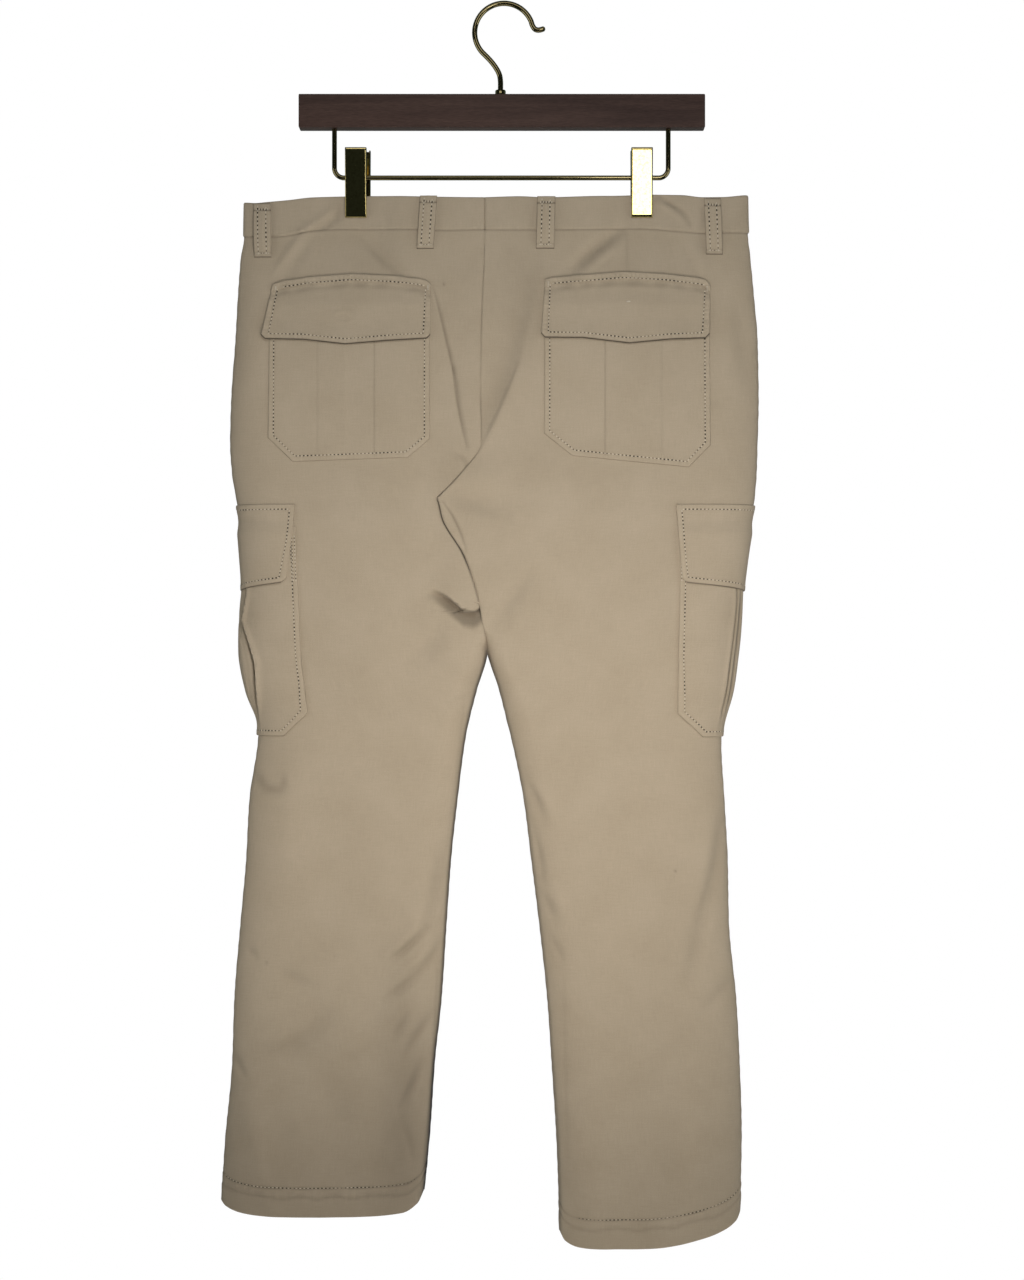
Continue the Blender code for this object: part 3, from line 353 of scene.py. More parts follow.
# each row is a ridge (height +) or trough (-) in the cloth, from x0, z0 to x1, z1: bow is how far its
# middle stands to the right of the straight line (above it, where the line is level), wide its
# width, lean makes the flank on that side longer, and tone darkens or pales the cloth along it:
# painted shade in the troughs and painted light on the ridges, and on rows without height painted
# shade or light over a band, save the specks of seed husk, which are the cloth's own
creases = {
    # x0, z0, x1, z1, bow, height, wide, lean, tone
    "backLeft": (
        # seat, left half
        (-184, -211, -213, -250, -2, 2.8, 8, 0.3, 0.02), (-176, -213, -204, -252, -2, -2.8, 8, 0, -0.05),
        (-131, -218, -91, -256, -2, -3.4, 7, 0.3, -0.06), (-124, -216, -82, -254, -2, 1.6, 7, 0.2, 0),
        (-66, -267, -47.5, -345, 0.6, -1.3, 1.3, 0.4, -0.24),
        (-52, -322, -42.5, -368, 0.3, -0.9, 1.4, 0.4, -0.12),
        (-48, -340, -34.5, -416, -1.5, -1.6, 1.6, 0.5, -0.26), (-59, -268, -30, -412, 4, 2.2, 8, 0.2, 0),
        (-47, -424, -38, -440, 3, 1.6, 4, 0, 0), (-44, -421, -36, -437, 5, -1.4, 2.2, 0, -0.08),
        (-42, -236, -28, -250, 0, -0.9, 12, 0, -0.01), (-232, -260, -244, -390, 0, 1.2, 14, 0, 0),
        # fork and thigh, left
        (-72, -400, -58, -560, 6, -3.0, 15, 0.2, -0.02), (-57, -583, -87, -618, 1, -2.6, 10, 0.2, -0.06),
        (-58, -577, -40, -640, 6, 2.4, 14, 0, 0), (-54, -655, -31, -646, 0, -1.6, 4, 0, -0.03),
        (-110, -560, -150, -680, 8, 1.6, 24, 0, 0),
        # lower leg, left
        (-108, -886, -78, -856, 1, 3.0, 6, 0, 0.04), (-104, -892, -70, -861, 1, -3.2, 3.2, 0, -0.12),
        (-101, -909, -66, -877, 1, 2.6, 5, 0, 0.03), (-111, -927, -80, -905, 1, -3.2, 4, 0.2, -0.12),
        (-80, -905, -59, -873, 2, -2.8, 3.2, 0, -0.11), (-102, -962, -89, -942, 0, -2.4, 4, 0, -0.12),
        (-91, -977, -66, -940, -1, -3.0, 4, 0, -0.13), (-96, -1025, -77, -985, 1, -3.0, 4, 0, -0.14),
        (-253, -979, -242, -996, 0, -2.6, 4, 0, -0.10), (-239, -879, -231, -890, 0, -1.8, 4, 0, -0.08),
        (-72, -858, -59, -788, 2, -3.4, 7, 0.3, -0.10), (-209, -903, -179, -917, 1, -2.0, 7, 0, -0.07),
        (-223, -981, -167, -944, 5, -3.6, 12, 0.2, -0.09), (-224, -968, -180, -946, 2, 1.5, 9, 0, 0.02),
        (-154, -1032, -142, -1024, 1, -1.1, 4, 0, -0.03), (-196, -1038, -184, -1030, 1, 1.2, 5, 0, 0.02),
        (-147, -982, -133, -974, 1, -1.0, 5, 0, -0.03), (-94, -1036, -84, -1072, 1, -1.4, 4, 0, -0.05),
        (-96, -890, -98, -1130, 3, 0, 22, 0, -0.17), (-122, -1010, -92, -930, 6, 3.4, 16, 0, 0.02),
        (-196, -700, -182, -860, -6, 2.0, 26, 0, 0.02), (-236, -1000, -222, -1095, 0, 2.0, 12, 0, 0.02),
        (-170, -960, -150, -1090, 5, -1.8, 18, 0, -0.02), (-62, -902, -79, -1122, 2, -1.0, 2.0, 0.3, -0.17),
        (-37, -646, -56, -800, 2, -0.9, 1.8, 0, -0.08), (-231, -718, -221, -733, -1, -0.4, 4.5, 0, -0.18),
        (-223, -733, -206, -735, 0, -0.4, 4.5, 0, -0.18), (-206, -734, -205, -720, 1, -0.4, 4, 0, -0.16),
        # specks of seed husk in the cotton
        (-56.2, -262.6, -55.8, -263, 0, 0, 1.2, 0, -0.5),
        (-220.7, -894.4, -220.3, -894.9, 0, 0, 1.2, 0, -0.5),
    ),
    "backRight": (
        (158.7, -809.2, 159.1, -809.7, 0, 0, 1.2, 0, -0.5),
        # seat, right half
        (38, -240, -17, -415, 8, 3.0, 17, 0.5, 0.01), (24, -250, -26, -410, 6, -2.6, 12, -0.2, -0.06),
        (22, -222, 8, -300, 0, 0, 24, 0, -0.05), (56, -262, 10, -410, 6, 1.6, 20, 0, 0),
        (14, -338, -19, -414, 1, 2.4, 4.5, 0.6, 0), (108, -213, 61, -252, -2, -4.8, 7, 0.2, -0.10),
        (116, -216, 72, -256, -2, 2.6, 7, 0.2, 0.01), (104, -236, 85, -251, 0, -0.9, 2.5, 0, -0.04),
        (115, -213, 115, -251, 0, -0.5, 1.6, 0, -0.10), (174, -222, 187, -254, 1, 1.8, 7, 0.3, 0),
        (166, -224, 178, -250, 1, -1.2, 6, 0, -0.02), (217, -277, 227, -353, 1, -2.4, 8, 0, -0.03),
        # fork and thigh, right
        (-50, -457, -2, -475, -2, -3.2, 9, 0, -0.07), (-50, -447, 4, -440, 0, 2.0, 12, 0, 0),
        (24, -535, -6, -577, 0, -4.2, 9, 0.2, -0.07), (32, -528, 6, -572, 0, 2.0, 10, 0, 0),
        (-57, -466, -35, -514, 3, -1.0, 1.2, 0.3, -0.3), (150, -520, 130, -690, 6, 1.8, 28, 0, 0),
        # lower leg, right
        (205, -752, 183, -856, 3, -3.8, 7, 0.2, -0.09), (196, -750, 174, -850, 3, 2.2, 12, 0, 0.01),
        (184, -850, 171, -914, 1, -2.8, 8, 0, -0.06), (219, -902, 187, -935, 1, -2.6, 6, 0, -0.07),
        (28, -771, 37, -822, 1, -2.6, 3.5, 0, -0.10), (41, -869, 54, -891, 1, -2.2, 4, 0, -0.08),
        (108, -960, 106, -1120, 0, 0, 30, 0, 0.05), (23, -729, 36, -757, 1, -2.8, 4, -0.2, -0.10),
        (31, -728, 46, -760, 1, 1.6, 6, 0, 0.02), (37, -832, 47, -855, 1, -2.6, 4, 0, -0.11),
        (44, -826, 58, -850, 1, 1.6, 7, 0, 0.02), (100, -780, 92, -940, 6, 1.8, 26, 0, 0.02),
        (168, -1000, 178, -1110, 0, 2.2, 14, 0, 0.02), (110, -1010, 116, -1130, 0, -1.8, 18, 0, -0.02),
        (54, -900, 60, -1100, 0, -0.7, 2.2, 0, -0.04),
    ),
    "frontLeft": (
        # fronts: waist, fork and thigh, then the knee
        (-120, -214, -86, -262, 2, -3.4, 8, 0, -0.07), (-178, -214, -206, -250, 2, 2.7, 8, 0, 0),
        (-26, -430, -96, -478, 3, -4.4, 9, 0.3, -0.09), (-24, -416, -110, -452, 4, 3.4, 10, 0, 0),
        (-28, -462, -80, -530, 5, 4.1, 11, 0, 0), (-34, -500, -62, -590, 3, -4.4, 12, 0, -0.07),
        (-60, -240, -128, -350, 6, 3.1, 14, 0.3, 0), (-200, -770, -150, -868, 4, -5.4, 15, 0.2, -0.07),
        (-214, -760, -170, -850, 4, 3.7, 14, 0, 0), (-90, -876, -134, -926, 3, 3.7, 9, 0, 0),
        (-84, -890, -126, -938, 3, -3.4, 8, 0, -0.07), (-214, -940, -158, -972, 3, -3.4, 10, 0, -0.04),
    ),
    "frontRight": (
        (112, -214, 80, -260, 2, -3.4, 8, 0, -0.07), (158, -214, 186, -252, 2, 2.7, 8, 0, 0),
        (-10, -430, 60, -480, 3, -4.4, 9, 0, -0.09), (-12, -416, 76, -450, 4, 3.4, 10, 0, 0),
        (-8, -462, 44, -532, 4, 4.1, 11, 0, 0), (0, -500, 30, -590, 3, -4.4, 12, 0, -0.07),
        (40, -238, 96, -340, 5, 3.1, 14, 0, 0), (160, -790, 112, -888, 4, -5.4, 15, 0, -0.07),
        (176, -780, 130, -876, 4, 3.7, 14, 0, 0), (60, -896, 112, -948, 3, 3.7, 9, 0, 0),
    ),
    # waistband, its back half only
    "bandLeft": (
        (-194, -216, -158, -188, 3, 2.0, 5.0, 0, 0.02), (-184, -216, -150, -188, 3, -2.2, 4.5, 0, -0.06),
    ),
    "bandRight": (
        (148, -184, 175, -208, 5, -2.0, 2.8, 0, -0.10), (140, -184, 168, -204, 5, 1.7, 4.0, 0, 0.01),
        (141, -178, 163, -198, 4, -1.4, 2.4, 0, -0.07), (186, -188, 192, -208, 0, -1.2, 3.0, 0, -0.05),
    ),
}
quarters = (("left", "back"), ("left", "front"), ("right", "back"), ("right", "front"))
# the fold that swings across the inside of the left thigh: above its lip the cloth bulges out,
# under it the cloth is hollow, its colour darkened there with painted shade
swag = {
    "columns": ("x", "lip"),
    "rows": ((-84, -560), (-75, -555.4), (-70.8, -551.8), (-66, -549.6), (-59.6, -551.4), (-50.3, -556.5),
             (-43.8, -562), (-37.3, -567), (-28, -568.5), (-22, -564.6), (-16, -560), (-6, -556)),
    "bulge": 3.0, "hollow": 7.5, "above": 13.0, "below": 3.0, "widen": 13.5, "from": -80.0, "full": -47.0,
}


def inward(leg):
    return 1.0 if leg == "left" else -1.0


def sideOf(face):
    return -1.0 if face == "back" else 1.0


def hemFoot(leg):
    # the hem's own height, before it is sloped and curved
    return (cut["hems"][leg]["outer"] + cut["hems"][leg]["inner"]) / 2


def section(name, z):
    return smoothColumn(outline, name, z)


def clipPinch(x, z):
    # share of the depth left between the jaws: 1 - pinch * exp(-(away / wide)^4) * exp(-(down / tall)^4)
    down = np.maximum(smoothColumn(waistLine, "top", x) - z, 0)
    near = sum(np.exp(-((x - middle) / cut["pinchWide"]) ** 4) for middle in cut["clips"].values())
    return 1 - cut["pinch"] * near * np.exp(-(down / cut["pinchTall"]) ** 4)


def creaseField(panel, x, z):
    # each crease: a rise and fall along it times exp(-(away / wide)^2 - (past the ends / wide)^2),
    # times its height for the depth and times its tone for the painted shade or light in the colour; on a
    # panel it begins and ends at 0.35 of its middle, on the waistband at nothing
    depth = np.zeros(np.broadcast(x, z).shape)
    shade = np.zeros(depth.shape)
    for x0, z0, x1, z1, bow, height, wide, lean, tone in creases[panel]:
        runX, runZ = x1 - x0, z1 - z0
        long = math.hypot(runX, runZ)
        squareX, squareZ = runZ / long, -runX / long
        if squareX + 0.3 * squareZ < 0:
            squareX, squareZ = -squareX, -squareZ
        along = ((x - x0) * runX + (z - z0) * runZ) / long**2
        inside = np.clip(along, 0, 1)
        away = (x - x0) * squareX + (z - z0) * squareZ - bow * 4 * inside * (1 - inside)
        swell = np.exp(-(away / (wide * (1 + lean * np.sign(away)))) ** 2)
        if "band" in panel:
            swell = swell * np.sin(math.pi * inside) ** 0.5
        else:
            swell = swell * (0.35 + 0.65 * np.sin(math.pi * inside)) * bell((along - inside) * long, wide)
        depth = depth + height * swell
        shade = shade + tone * swell
    return depth, shade


def swagField(x, z):
    # above the lip: bulge * exp(-(up / above)^2); below it a hollow that eases out over a growing width;
    # given back with it, painted shade in the hollow's colour under the lip
    above = z - smoothColumn(swag, "lip", x)
    reach = smoothStep(swag["from"], swag["full"], x)
    soft = 1.0 + 5.0 * (1 - reach)
    over = smoothStep(0, 1, (above + soft) / (2 * soft))
    deep = swag["below"] + swag["widen"] * reach
    down = np.maximum(-above, 0) / deep
    bulge = swag["bulge"] * bell(above, swag["above"]) * smoothStep(1, 9, section("leftIn", z) - x)
    hollow = -swag["hollow"] * (1 - smoothStep(0, 1.1, down))
    shade = -0.36 * (1 - over) * (1 - smoothStep(0.8 * deep - 3, 0.8 * deep + 5, -above))
    return reach * (over * bulge + (1 - over) * hollow), reach * shade


def clothWander(x, z, seed):
    # the slow unevenness of hanging cloth: three long waves that cross each other
    return (0.45 * np.sin(x / 31.0 + z / 47.0 + seed) * np.sin(z / 83.0 + 1.7 * seed)
            + 0.3 * np.sin(x / 17.0 - z / 61.0 + 2.3 * seed) + 0.22 * np.sin(z / 23.0 + x / 90.0 + seed))


def crumple(x, z, seed):
    # the finer creasing of the lower legs: two sets of short waves that cross, stronger towards the hem
    bent = x + 9 * np.sin(z / 41.0 + seed)
    first = np.sin(bent / 4.6 + z / 13.0 + seed) * np.sin(z / 29.0 - bent / 21.0 + 1.3 * seed)
    second = np.sin(bent / 9.5 - z / 8.7 + 2.9 * seed) * np.sin(bent / 37.0 + z / 19.0)
    strong = (0.25 + 0.75 * smoothStep(-820, -1060, z)) * smoothStep(-600, -700, z)
    return (0.20 * first + 0.26 * second) * strong


def panelKey(leg, face):
    return face + leg.capitalize()


def halfDepth(leg, face, x, z):
    # the section's depth, pinched by the clips, with the folds and the cloth's own unevenness upon it
    key = panelKey(leg, face)
    seed = cut["seeds"][key]
    calm = smoothStep(-200, -260, z)
    lower = 1 + 0.7 * smoothStep(-640, -760, z)
    deep = section(face, z) * clipPinch(x, z) + creaseField(key, x, z)[0]
    deep = deep + calm * lower * clothWander(x, z, seed) + crumple(x, z, seed)
    return deep + swagField(x, z)[0] if key == "backLeft" else deep


def innerEdge(leg, face, z):
    # the fronts meet on the middle line down to where the legs part; the backs follow their own edges
    own = section(leg + "In", z)
    if face == "back":
        return own
    return np.where(z > cut["legsPartZ"], cut["centreX"] + 2 * smoothStep(-560, cut["legsPartZ"], z), own)


def lapShare(z):
    # 1 where the right half of the back lies over the left one
    return smoothStep(*cut["lapFrom"], z) * (1 - smoothStep(*cut["lapTo"], z))


def faceDepth(leg, face, x, z):
    # half depth, rounded off as a quarter ellipse over the width next to the outer edge
    reach = np.abs(x - section(leg + "Out", z)) / section("outerRound", z)
    rounded = np.sqrt(np.clip(1 - (1 - np.clip(reach, 0, 1)) ** 2, 0, 1))
    return halfDepth(leg, face, x, z) * rounded


def onFace(leg, face, x, z):
    x, z = np.broadcast_arrays(np.asarray(x, float), np.asarray(z, float))
    return np.stack((x, sideOf(face) * faceDepth(leg, face, x, z), z), -1)


def roundSide(leg, around, z):
    # points at a distance round the outer edge, negative towards the back: a quarter ellipse, then flat
    around, z = np.broadcast_arrays(np.asarray(around, float), np.asarray(z, float))
    wide = section("outerRound", z)
    points = np.zeros(around.shape + (3,))
    for face, here in (("back", around < 0), ("front", around >= 0)):
        deep = section(face, z)
        quarter = math.pi / 2 * np.sqrt((wide**2 + deep**2) / 2)
        angle = np.minimum(np.abs(around) / quarter, 1) * math.pi / 2
        reach = wide * (1 - np.cos(angle)) + np.maximum(np.abs(around) - quarter, 0)
        x = section(leg + "Out", z) + inward(leg) * reach
        y = sideOf(face) * halfDepth(leg, face, x, z) * np.sin(angle)
        points[here] = np.stack((x, y, z), -1)[here]
    return points


def aroundOf(leg, x, z):
    # the distance round the outer edge of a point of the back that is seen at x
    wide, deep = section("outerRound", z), section("back", z)
    reach = np.abs(np.asarray(x, float) - section(leg + "Out", z))
    quarter = math.pi / 2 * np.sqrt((wide**2 + deep**2) / 2)
    angle = np.arccos(np.clip(1 - reach / wide, 0, 1))
    return -(quarter * angle / (math.pi / 2) + np.maximum(reach - wide, 0))


def panelProfile(leg, face, z, count):
    # one row for each height: round the outer edge as a quarter ellipse, across the face, and in at the
    # inner edge; then read again at places even in length but closer together at both edges
    z = z[:, None]
    way = inward(leg)
    outerRound, innerRound = section("outerRound", z), section("innerRound", z)
    steps = cut["turnSteps"]
    turn = np.linspace(0, math.pi / 2, steps)[None, :]
    outerX = section(leg + "Out", z) + way * outerRound * (1 - np.cos(turn))
    lapped = lapShare(z) if face == "back" else 0 * z
    edge = innerEdge(leg, face, z)
    if leg == "left":
        edge = edge + cut["underlap"] * lapped
    low, high = cut["lapTo"] if face == "back" else (cut["forkTopZ"], cut["forkZ"])
    closed = smoothStep(low, high, z)
    innerX = edge + way * (0.7 * closed - innerRound * (1 - np.sin(turn)))
    middle = np.linspace(0, 1, cut["acrossSteps"])[None, 1:-1]
    middleX = outerX[:, -1:] + (innerX[:, :1] - outerX[:, -1:]) * middle
    x = np.concatenate((outerX, middleX, innerX), 1)
    deep = halfDepth(leg, face, x, z)
    thick = smoothColumn(lapEdge, "step", z)
    if leg == "left":
        pressed = smoothStep(-1.2, 0.8, x - (edge - cut["underlap"] * lapped))
        deep = deep - (thick + 0.4) * lapped * pressed
    step = cut["groove"] + (thick - cut["groove"]) * lapped
    step = step + (deep[:, -steps:] - step) * closed
    rolled = np.concatenate((1 - np.sin(turn) + 0 * outerX, 0 * middleX, 0 * innerX), 1) * deep
    rolled[:, -steps:] = step * (1 - np.cos(turn))
    y = deep - rolled
    length = np.concatenate((0 * z, np.cumsum(np.hypot(np.diff(x), np.diff(y)), 1)), 1)
    even = np.linspace(0, 1, count)
    want = 0.62 * even + 0.38 * (0.5 - 0.5 * np.cos(math.pi * even))
    rows = 2.0 * np.arange(len(z))[:, None]
    key = (length / length[:, -1:] + rows).ravel()
    asked = (want[None, :] + rows).ravel()
    size = (len(z), count)
    along = want[None, :] * length[:, -1:]
    return (np.interp(asked, key, x.ravel()).reshape(size),
            sideOf(face) * np.interp(asked, key, y.ravel()).reshape(size), along)


def hemShift(leg, face, x, z):
    # how far a point near the hem moves, so that the hem slopes and hangs in a curve
    hem, foot = cut["hems"][leg], hemFoot(leg)
    outer, inner = section(leg + "Out", z), section(leg + "In", z)
    across = np.clip((x - outer) / (inner - outer), 0, 1)
    drop = smoothColumn(hemDrop, leg, across) if face == "back" else hem["front"] * np.sin(math.pi * across)
    edge = hem["outer"] + (hem["inner"] - hem["outer"]) * across - drop
    return (edge - foot) * smoothStep(-(foot + cut["hemReach"]), -(foot + cut["hemDeep"]), -z)


panels = {
    "back": {"columns": 188, "step": 2.05}, "front": {"columns": 112, "step": 2.9},
    "groove": 0.5, "grooveWide": 1.3, "pucker": 0.14, "puckerPitch": 15.0, "hemThick": 2.0,
    "waistFade": 75.0, "grainX": {"back": 0, "front": 400},
    "innerEdgeShade": {"left": 0.75, "right": 0.35}, "paintedHemShade": {"left": 0.28, "right": 0.15},
}


def trouserPanel(leg, face):
    # the profile above at each height, pushed in at its seams, with the hem turned up inside
    fine = panels[face]
    foot = hemFoot(leg)
    count = int((cut["waistZ"] - foot) / fine["step"])
    nominal = np.concatenate((np.linspace(cut["waistZ"], foot + 2, count), [foot + 1.2, foot + 0.5, foot]))
    x, y, along = panelProfile(leg, face, nominal, fine["columns"])
    z = np.repeat(nominal[:, None], fine["columns"], 1)
    rise = smoothColumn(waistLine, "seam", x) - cut["waistZ"]
    rise = rise * smoothStep(cut["waistZ"] - panels["waistFade"], cut["waistZ"], z)
    z = z + rise + hemShift(leg, face, x, z)
    outer = np.stack((x, y, z), -1)
    outer[:, 0, 1] = 0.0
    key = panelKey(leg, face)
    normal = gridNormals(outer)
    normal *= np.sign(np.sum(normal[..., 1] * sideOf(face)))
    fromOut, fromIn = along, along[:, -1:] - along
    aboveHem = nominal[:, None] - foot + 0 * x
    stitchLine = bell(aboveHem - cut["hemDeep"] + 2, 1.1) * (0.75 + 0.35 * ripple(x, 33.0, 2.2))
    pressLine = bell(aboveHem - 18.0 - 1.1 * ripple(x, 42.0, 0.7), 1.5)
    free = smoothStep(cut["legsPartZ"], cut["legsPartZ"] - 50, z)          # below the fork
    seated = 1 - smoothStep(-395, -412, z)                                # beside the centre seam
    grooves = bell(fromOut, panels["grooveWide"]) + free * bell(fromIn, panels["grooveWide"])
    push = -panels["groove"] * grooves
    push += panels["pucker"] * ripple(z, panels["puckerPitch"], len(leg)) * (
        bell(fromOut, 6) + (free + seated) * bell(fromIn, 6))
    push += -0.5 * stitchLine + 0.55 * smoothStep(cut["hemDeep"] + 1, cut["hemDeep"] - 5, aboveHem)
    push += -0.55 * pressLine + 0.18 * ripple(x, 9.0, 1.3) * bell(aboveHem - 22, 6)
    outer = outer + normal * push[..., None]
    # painted shade in the hem's stitch and press lines and in the grooves of the seams at both edges
    tone = 1 - 0.2 * stitchLine - 0.11 * pressLine - 0.1 * bell(fromOut, 1.5) - 0.08 * bell(fromIn, 1.0)
    # the folds at both sides of a leg and the waist seam darkened with painted shade, and more painted
    # shade towards the hem
    inner, outside = np.abs(x - section(leg + "In", z)), np.abs(x - section(leg + "Out", z))
    tone = tone - panels["innerEdgeShade"][leg] * smoothStep(-598, -612, z) * bell(inner, 1.8)
    tone = tone - 0.22 * bell(outside, 1.6) - panels["paintedHemShade"][leg] * smoothStep(-890, -1130, z)
    tone = tone - 0.3 * bell(cut["waistZ"] - nominal[:, None], 1.0)
    tone = tone + creaseField(key, x, z)[1] + (swagField(x, z)[1] if key == "backLeft" else 0)
    # painted shade along the edge where the right half of the back lies over the left
    if face == "back":
        beyond = fromIn if leg == "right" else section("leftIn", z) - x
        dark = smoothColumn(lapEdge, "dark", z) * (0.5 if leg == "right" else 1.0) * lapShare(z)
        tone = tone - dark * bell(beyond, 1.1)
    # the turned-up hem: round the edge and up the inside
    up = np.searchsorted(-nominal, -(foot + cut["hemDeep"]))
    inRows = np.arange(len(nominal) - 1, up - 1, -3)
    drop = panels["hemThick"] * smoothStep(-1, 2, np.arange(len(inRows)))[:, None, None]
    points = np.concatenate((outer, outer[inRows] - normal[inRows] * drop))
    outward = np.concatenate((normal, -normal[inRows])).reshape(-1, 3)
    tone = np.concatenate((tone, tone[inRows] * 0.97))
    grain = np.stack((np.concatenate((along, along[inRows])) + panels["grainX"][face],
                      np.concatenate((z, 2 * z[-1:] - z[inRows]))), -1)
    rows, columns = points.shape[:2]
    flat = points.reshape(-1, 3)
    faces = facingOut(flat, outward, gridFaces(rows, columns), slice((len(outer) - 1) * (columns - 1)))
    piece = addPiece(key + "Panel", flat, faces, twillMaterial, grain.reshape(-1, 2), tone.ravel(),
                     (f"{face}_{leg}_upper", f"{face}_{leg}_lower"))


for leg, face in quarters:
    trouserPanel(leg, face)
print("panels sewn up")


def laidOn(base, height, u, v, middleX=None):
    # base(u, v) plus height(u, v) along the direction square to the base, and away from the leg's middle
    # line, or away from the plane between back and front where no middle is given
    step = 0.5
    here = base(u, v)
    across = base(u + step, v) - base(u - step, v)
    down = base(u, v + step) - base(u, v - step)
    normal = unit(np.cross(across, down))
    out = here * np.array((0.0 if middleX is None else 1.0, 1.0, 0.0))
    out[..., 0] -= middleX or 0.0
    normal *= np.sign(np.sum(normal * out, -1, keepdims=True))
    return here + normal * np.asarray(height)[..., None], normal


edgeSteps = (0.0, 0.2, 0.5, 0.9, 1.4, 2.0, 2.8, 3.6, 4.4, 5.2, 6.0, 7.2)


def fineSteps(low, high, step, edge=edgeSteps):
    # places from low to high: close together at both ends, even between
    edge = np.array(edge)
    count = max(int((high - low - 2 * edge[-1]) / step), 2) + 1
    inner = np.linspace(low + edge[-1], high - edge[-1], count)
    return np.concatenate((low + edge[:-1], inner, (high - edge[:-1])[::-1]))


def edgeDistance(corners, u, v):
    # distance to the nearest side of the outline, and how far along the outline that point is
    nearest = np.full(np.broadcast(u, v).shape, 1e9)
    along = np.zeros(nearest.shape)
    start = 0.0
    for (u0, v0), (u1, v1) in zip(corners, corners[1:] + corners[:1]):
        long = math.hypot(u1 - u0, v1 - v0)
        if long < 1e-6:
            continue
        t = np.clip(((u - u0) * (u1 - u0) + (v - v0) * (v1 - v0)) / long**2, 0, 1)
        away = np.hypot(u - u0 - t * (u1 - u0), v - v0 - t * (v1 - v0))
        closer = away < nearest
        nearest = np.where(closer, away, nearest)
        along = np.where(closer, start + t * long, along)
        start += long
    return nearest, along


def roundedEdge(away, radius):
    # 0 at the edge, 1 once inside it, as a quarter circle
    return np.sqrt(np.clip(1 - (1 - np.clip(away / radius, 0, 1)) ** 2, 0, 1))


def sewnHeight(away, along, thick, stitch, seed, groove=0.35, pitch=6.5):
    # a folded edge: a little thicker between the edge and the stitch line, a groove under the stitches,
    # a small heave between the stitches and larger puckers
    rise = thick * roundedEdge(away, 0.7)
    rise = rise + 0.2 * smoothStep(0.3, 1.2, away) * smoothStep(stitch + 5, stitch - 1, away)
    rise = rise - groove * bell(away - stitch, 0.6)
    rise = rise + 0.1 * ripple(along, 3.1, seed * 3) * bell(away - stitch, 1.6)
    return rise + 0.2 * ripple(along, pitch, seed) * bell(away - stitch * 0.8, 3.2)


def seamShadeAndWear(away, stitch, edge=0.25):
    # darker at the edge, as grime and painted shade, and in the stitch line, as painted shade; a little
    # paler between the two, as wear
    darker = 0.04 * bell(away - stitch, 0.8) + edge * bell(away, 0.5)
    return 1 - darker + 0.03 * bell(away - stitch / 2, 1.2)


def shell(name, node, base, topAt, top, low, u, v, grainX, tone, middleX=None, tuck=(9, 4, 0)):
    # the outer grid, its rim, and a strip of the underside all round; given back is the outer surface as
    # a function of u and v, for the stitches
    rows, columns = u.shape
    rowMap = np.concatenate((tuck, np.arange(rows), rows - 1 - np.array(tuck[::-1])))
    columnMap = np.concatenate((tuck, np.arange(columns), columns - 1 - np.array(tuck[::-1])))
    under = np.zeros((len(rowMap), len(columnMap)), bool)
    under[:3] = under[-3:] = True
    under[:, :3] = under[:, -3:] = True
    picked = np.ix_(rowMap, columnMap)
    height = np.where(under, low[picked], top[picked])
    points, normal = (grid.reshape(-1, 3) for grid in laidOn(base, height, u[picked], v[picked], middleX))
    faces = gridFaces(*under.shape)
    faces = facingOut(points, normal, faces, ~under.ravel()[faces].any(1))
    grain = np.stack((u + grainX, v), -1)[picked].reshape(-1, 2)
    # the underside strip is darkened to 0.6 as painted shade
    piece = addPiece(name, points, faces, twillMaterial, grain,
                     (tone[picked] * np.where(under, 0.6, 1)).ravel(), (node,), sharp=60)
    return lambda u, v: laidOn(base, topAt(u, v)[0], u, v, middleX)


def betweenEdges(upper, lower, columns, rows):
    # straight lines from the upper edge to the lower one, both read at the same shares of the width
    def edge(points):
        x, z = np.array(points, float).T
        share = (x - x[0]) / (x[-1] - x[0])
        return np.stack((np.interp(columns, share, x), np.interp(columns, share, z)), -1)

    down = rows[:, None, None]
    grid = edge(upper)[None] * (1 - down) + edge(lower)[None] * down
    return grid[..., 0], grid[..., 1]


# sewn at 2.8 mm in the cloth, drawn coarser here so that each stitch shows
stitching = {"pitch": 3.6, "long": 1.8, "wide": 0.95, "high": 0.4, "hole": 1.7, "holeWide": 1.3}
stitchStore = {}


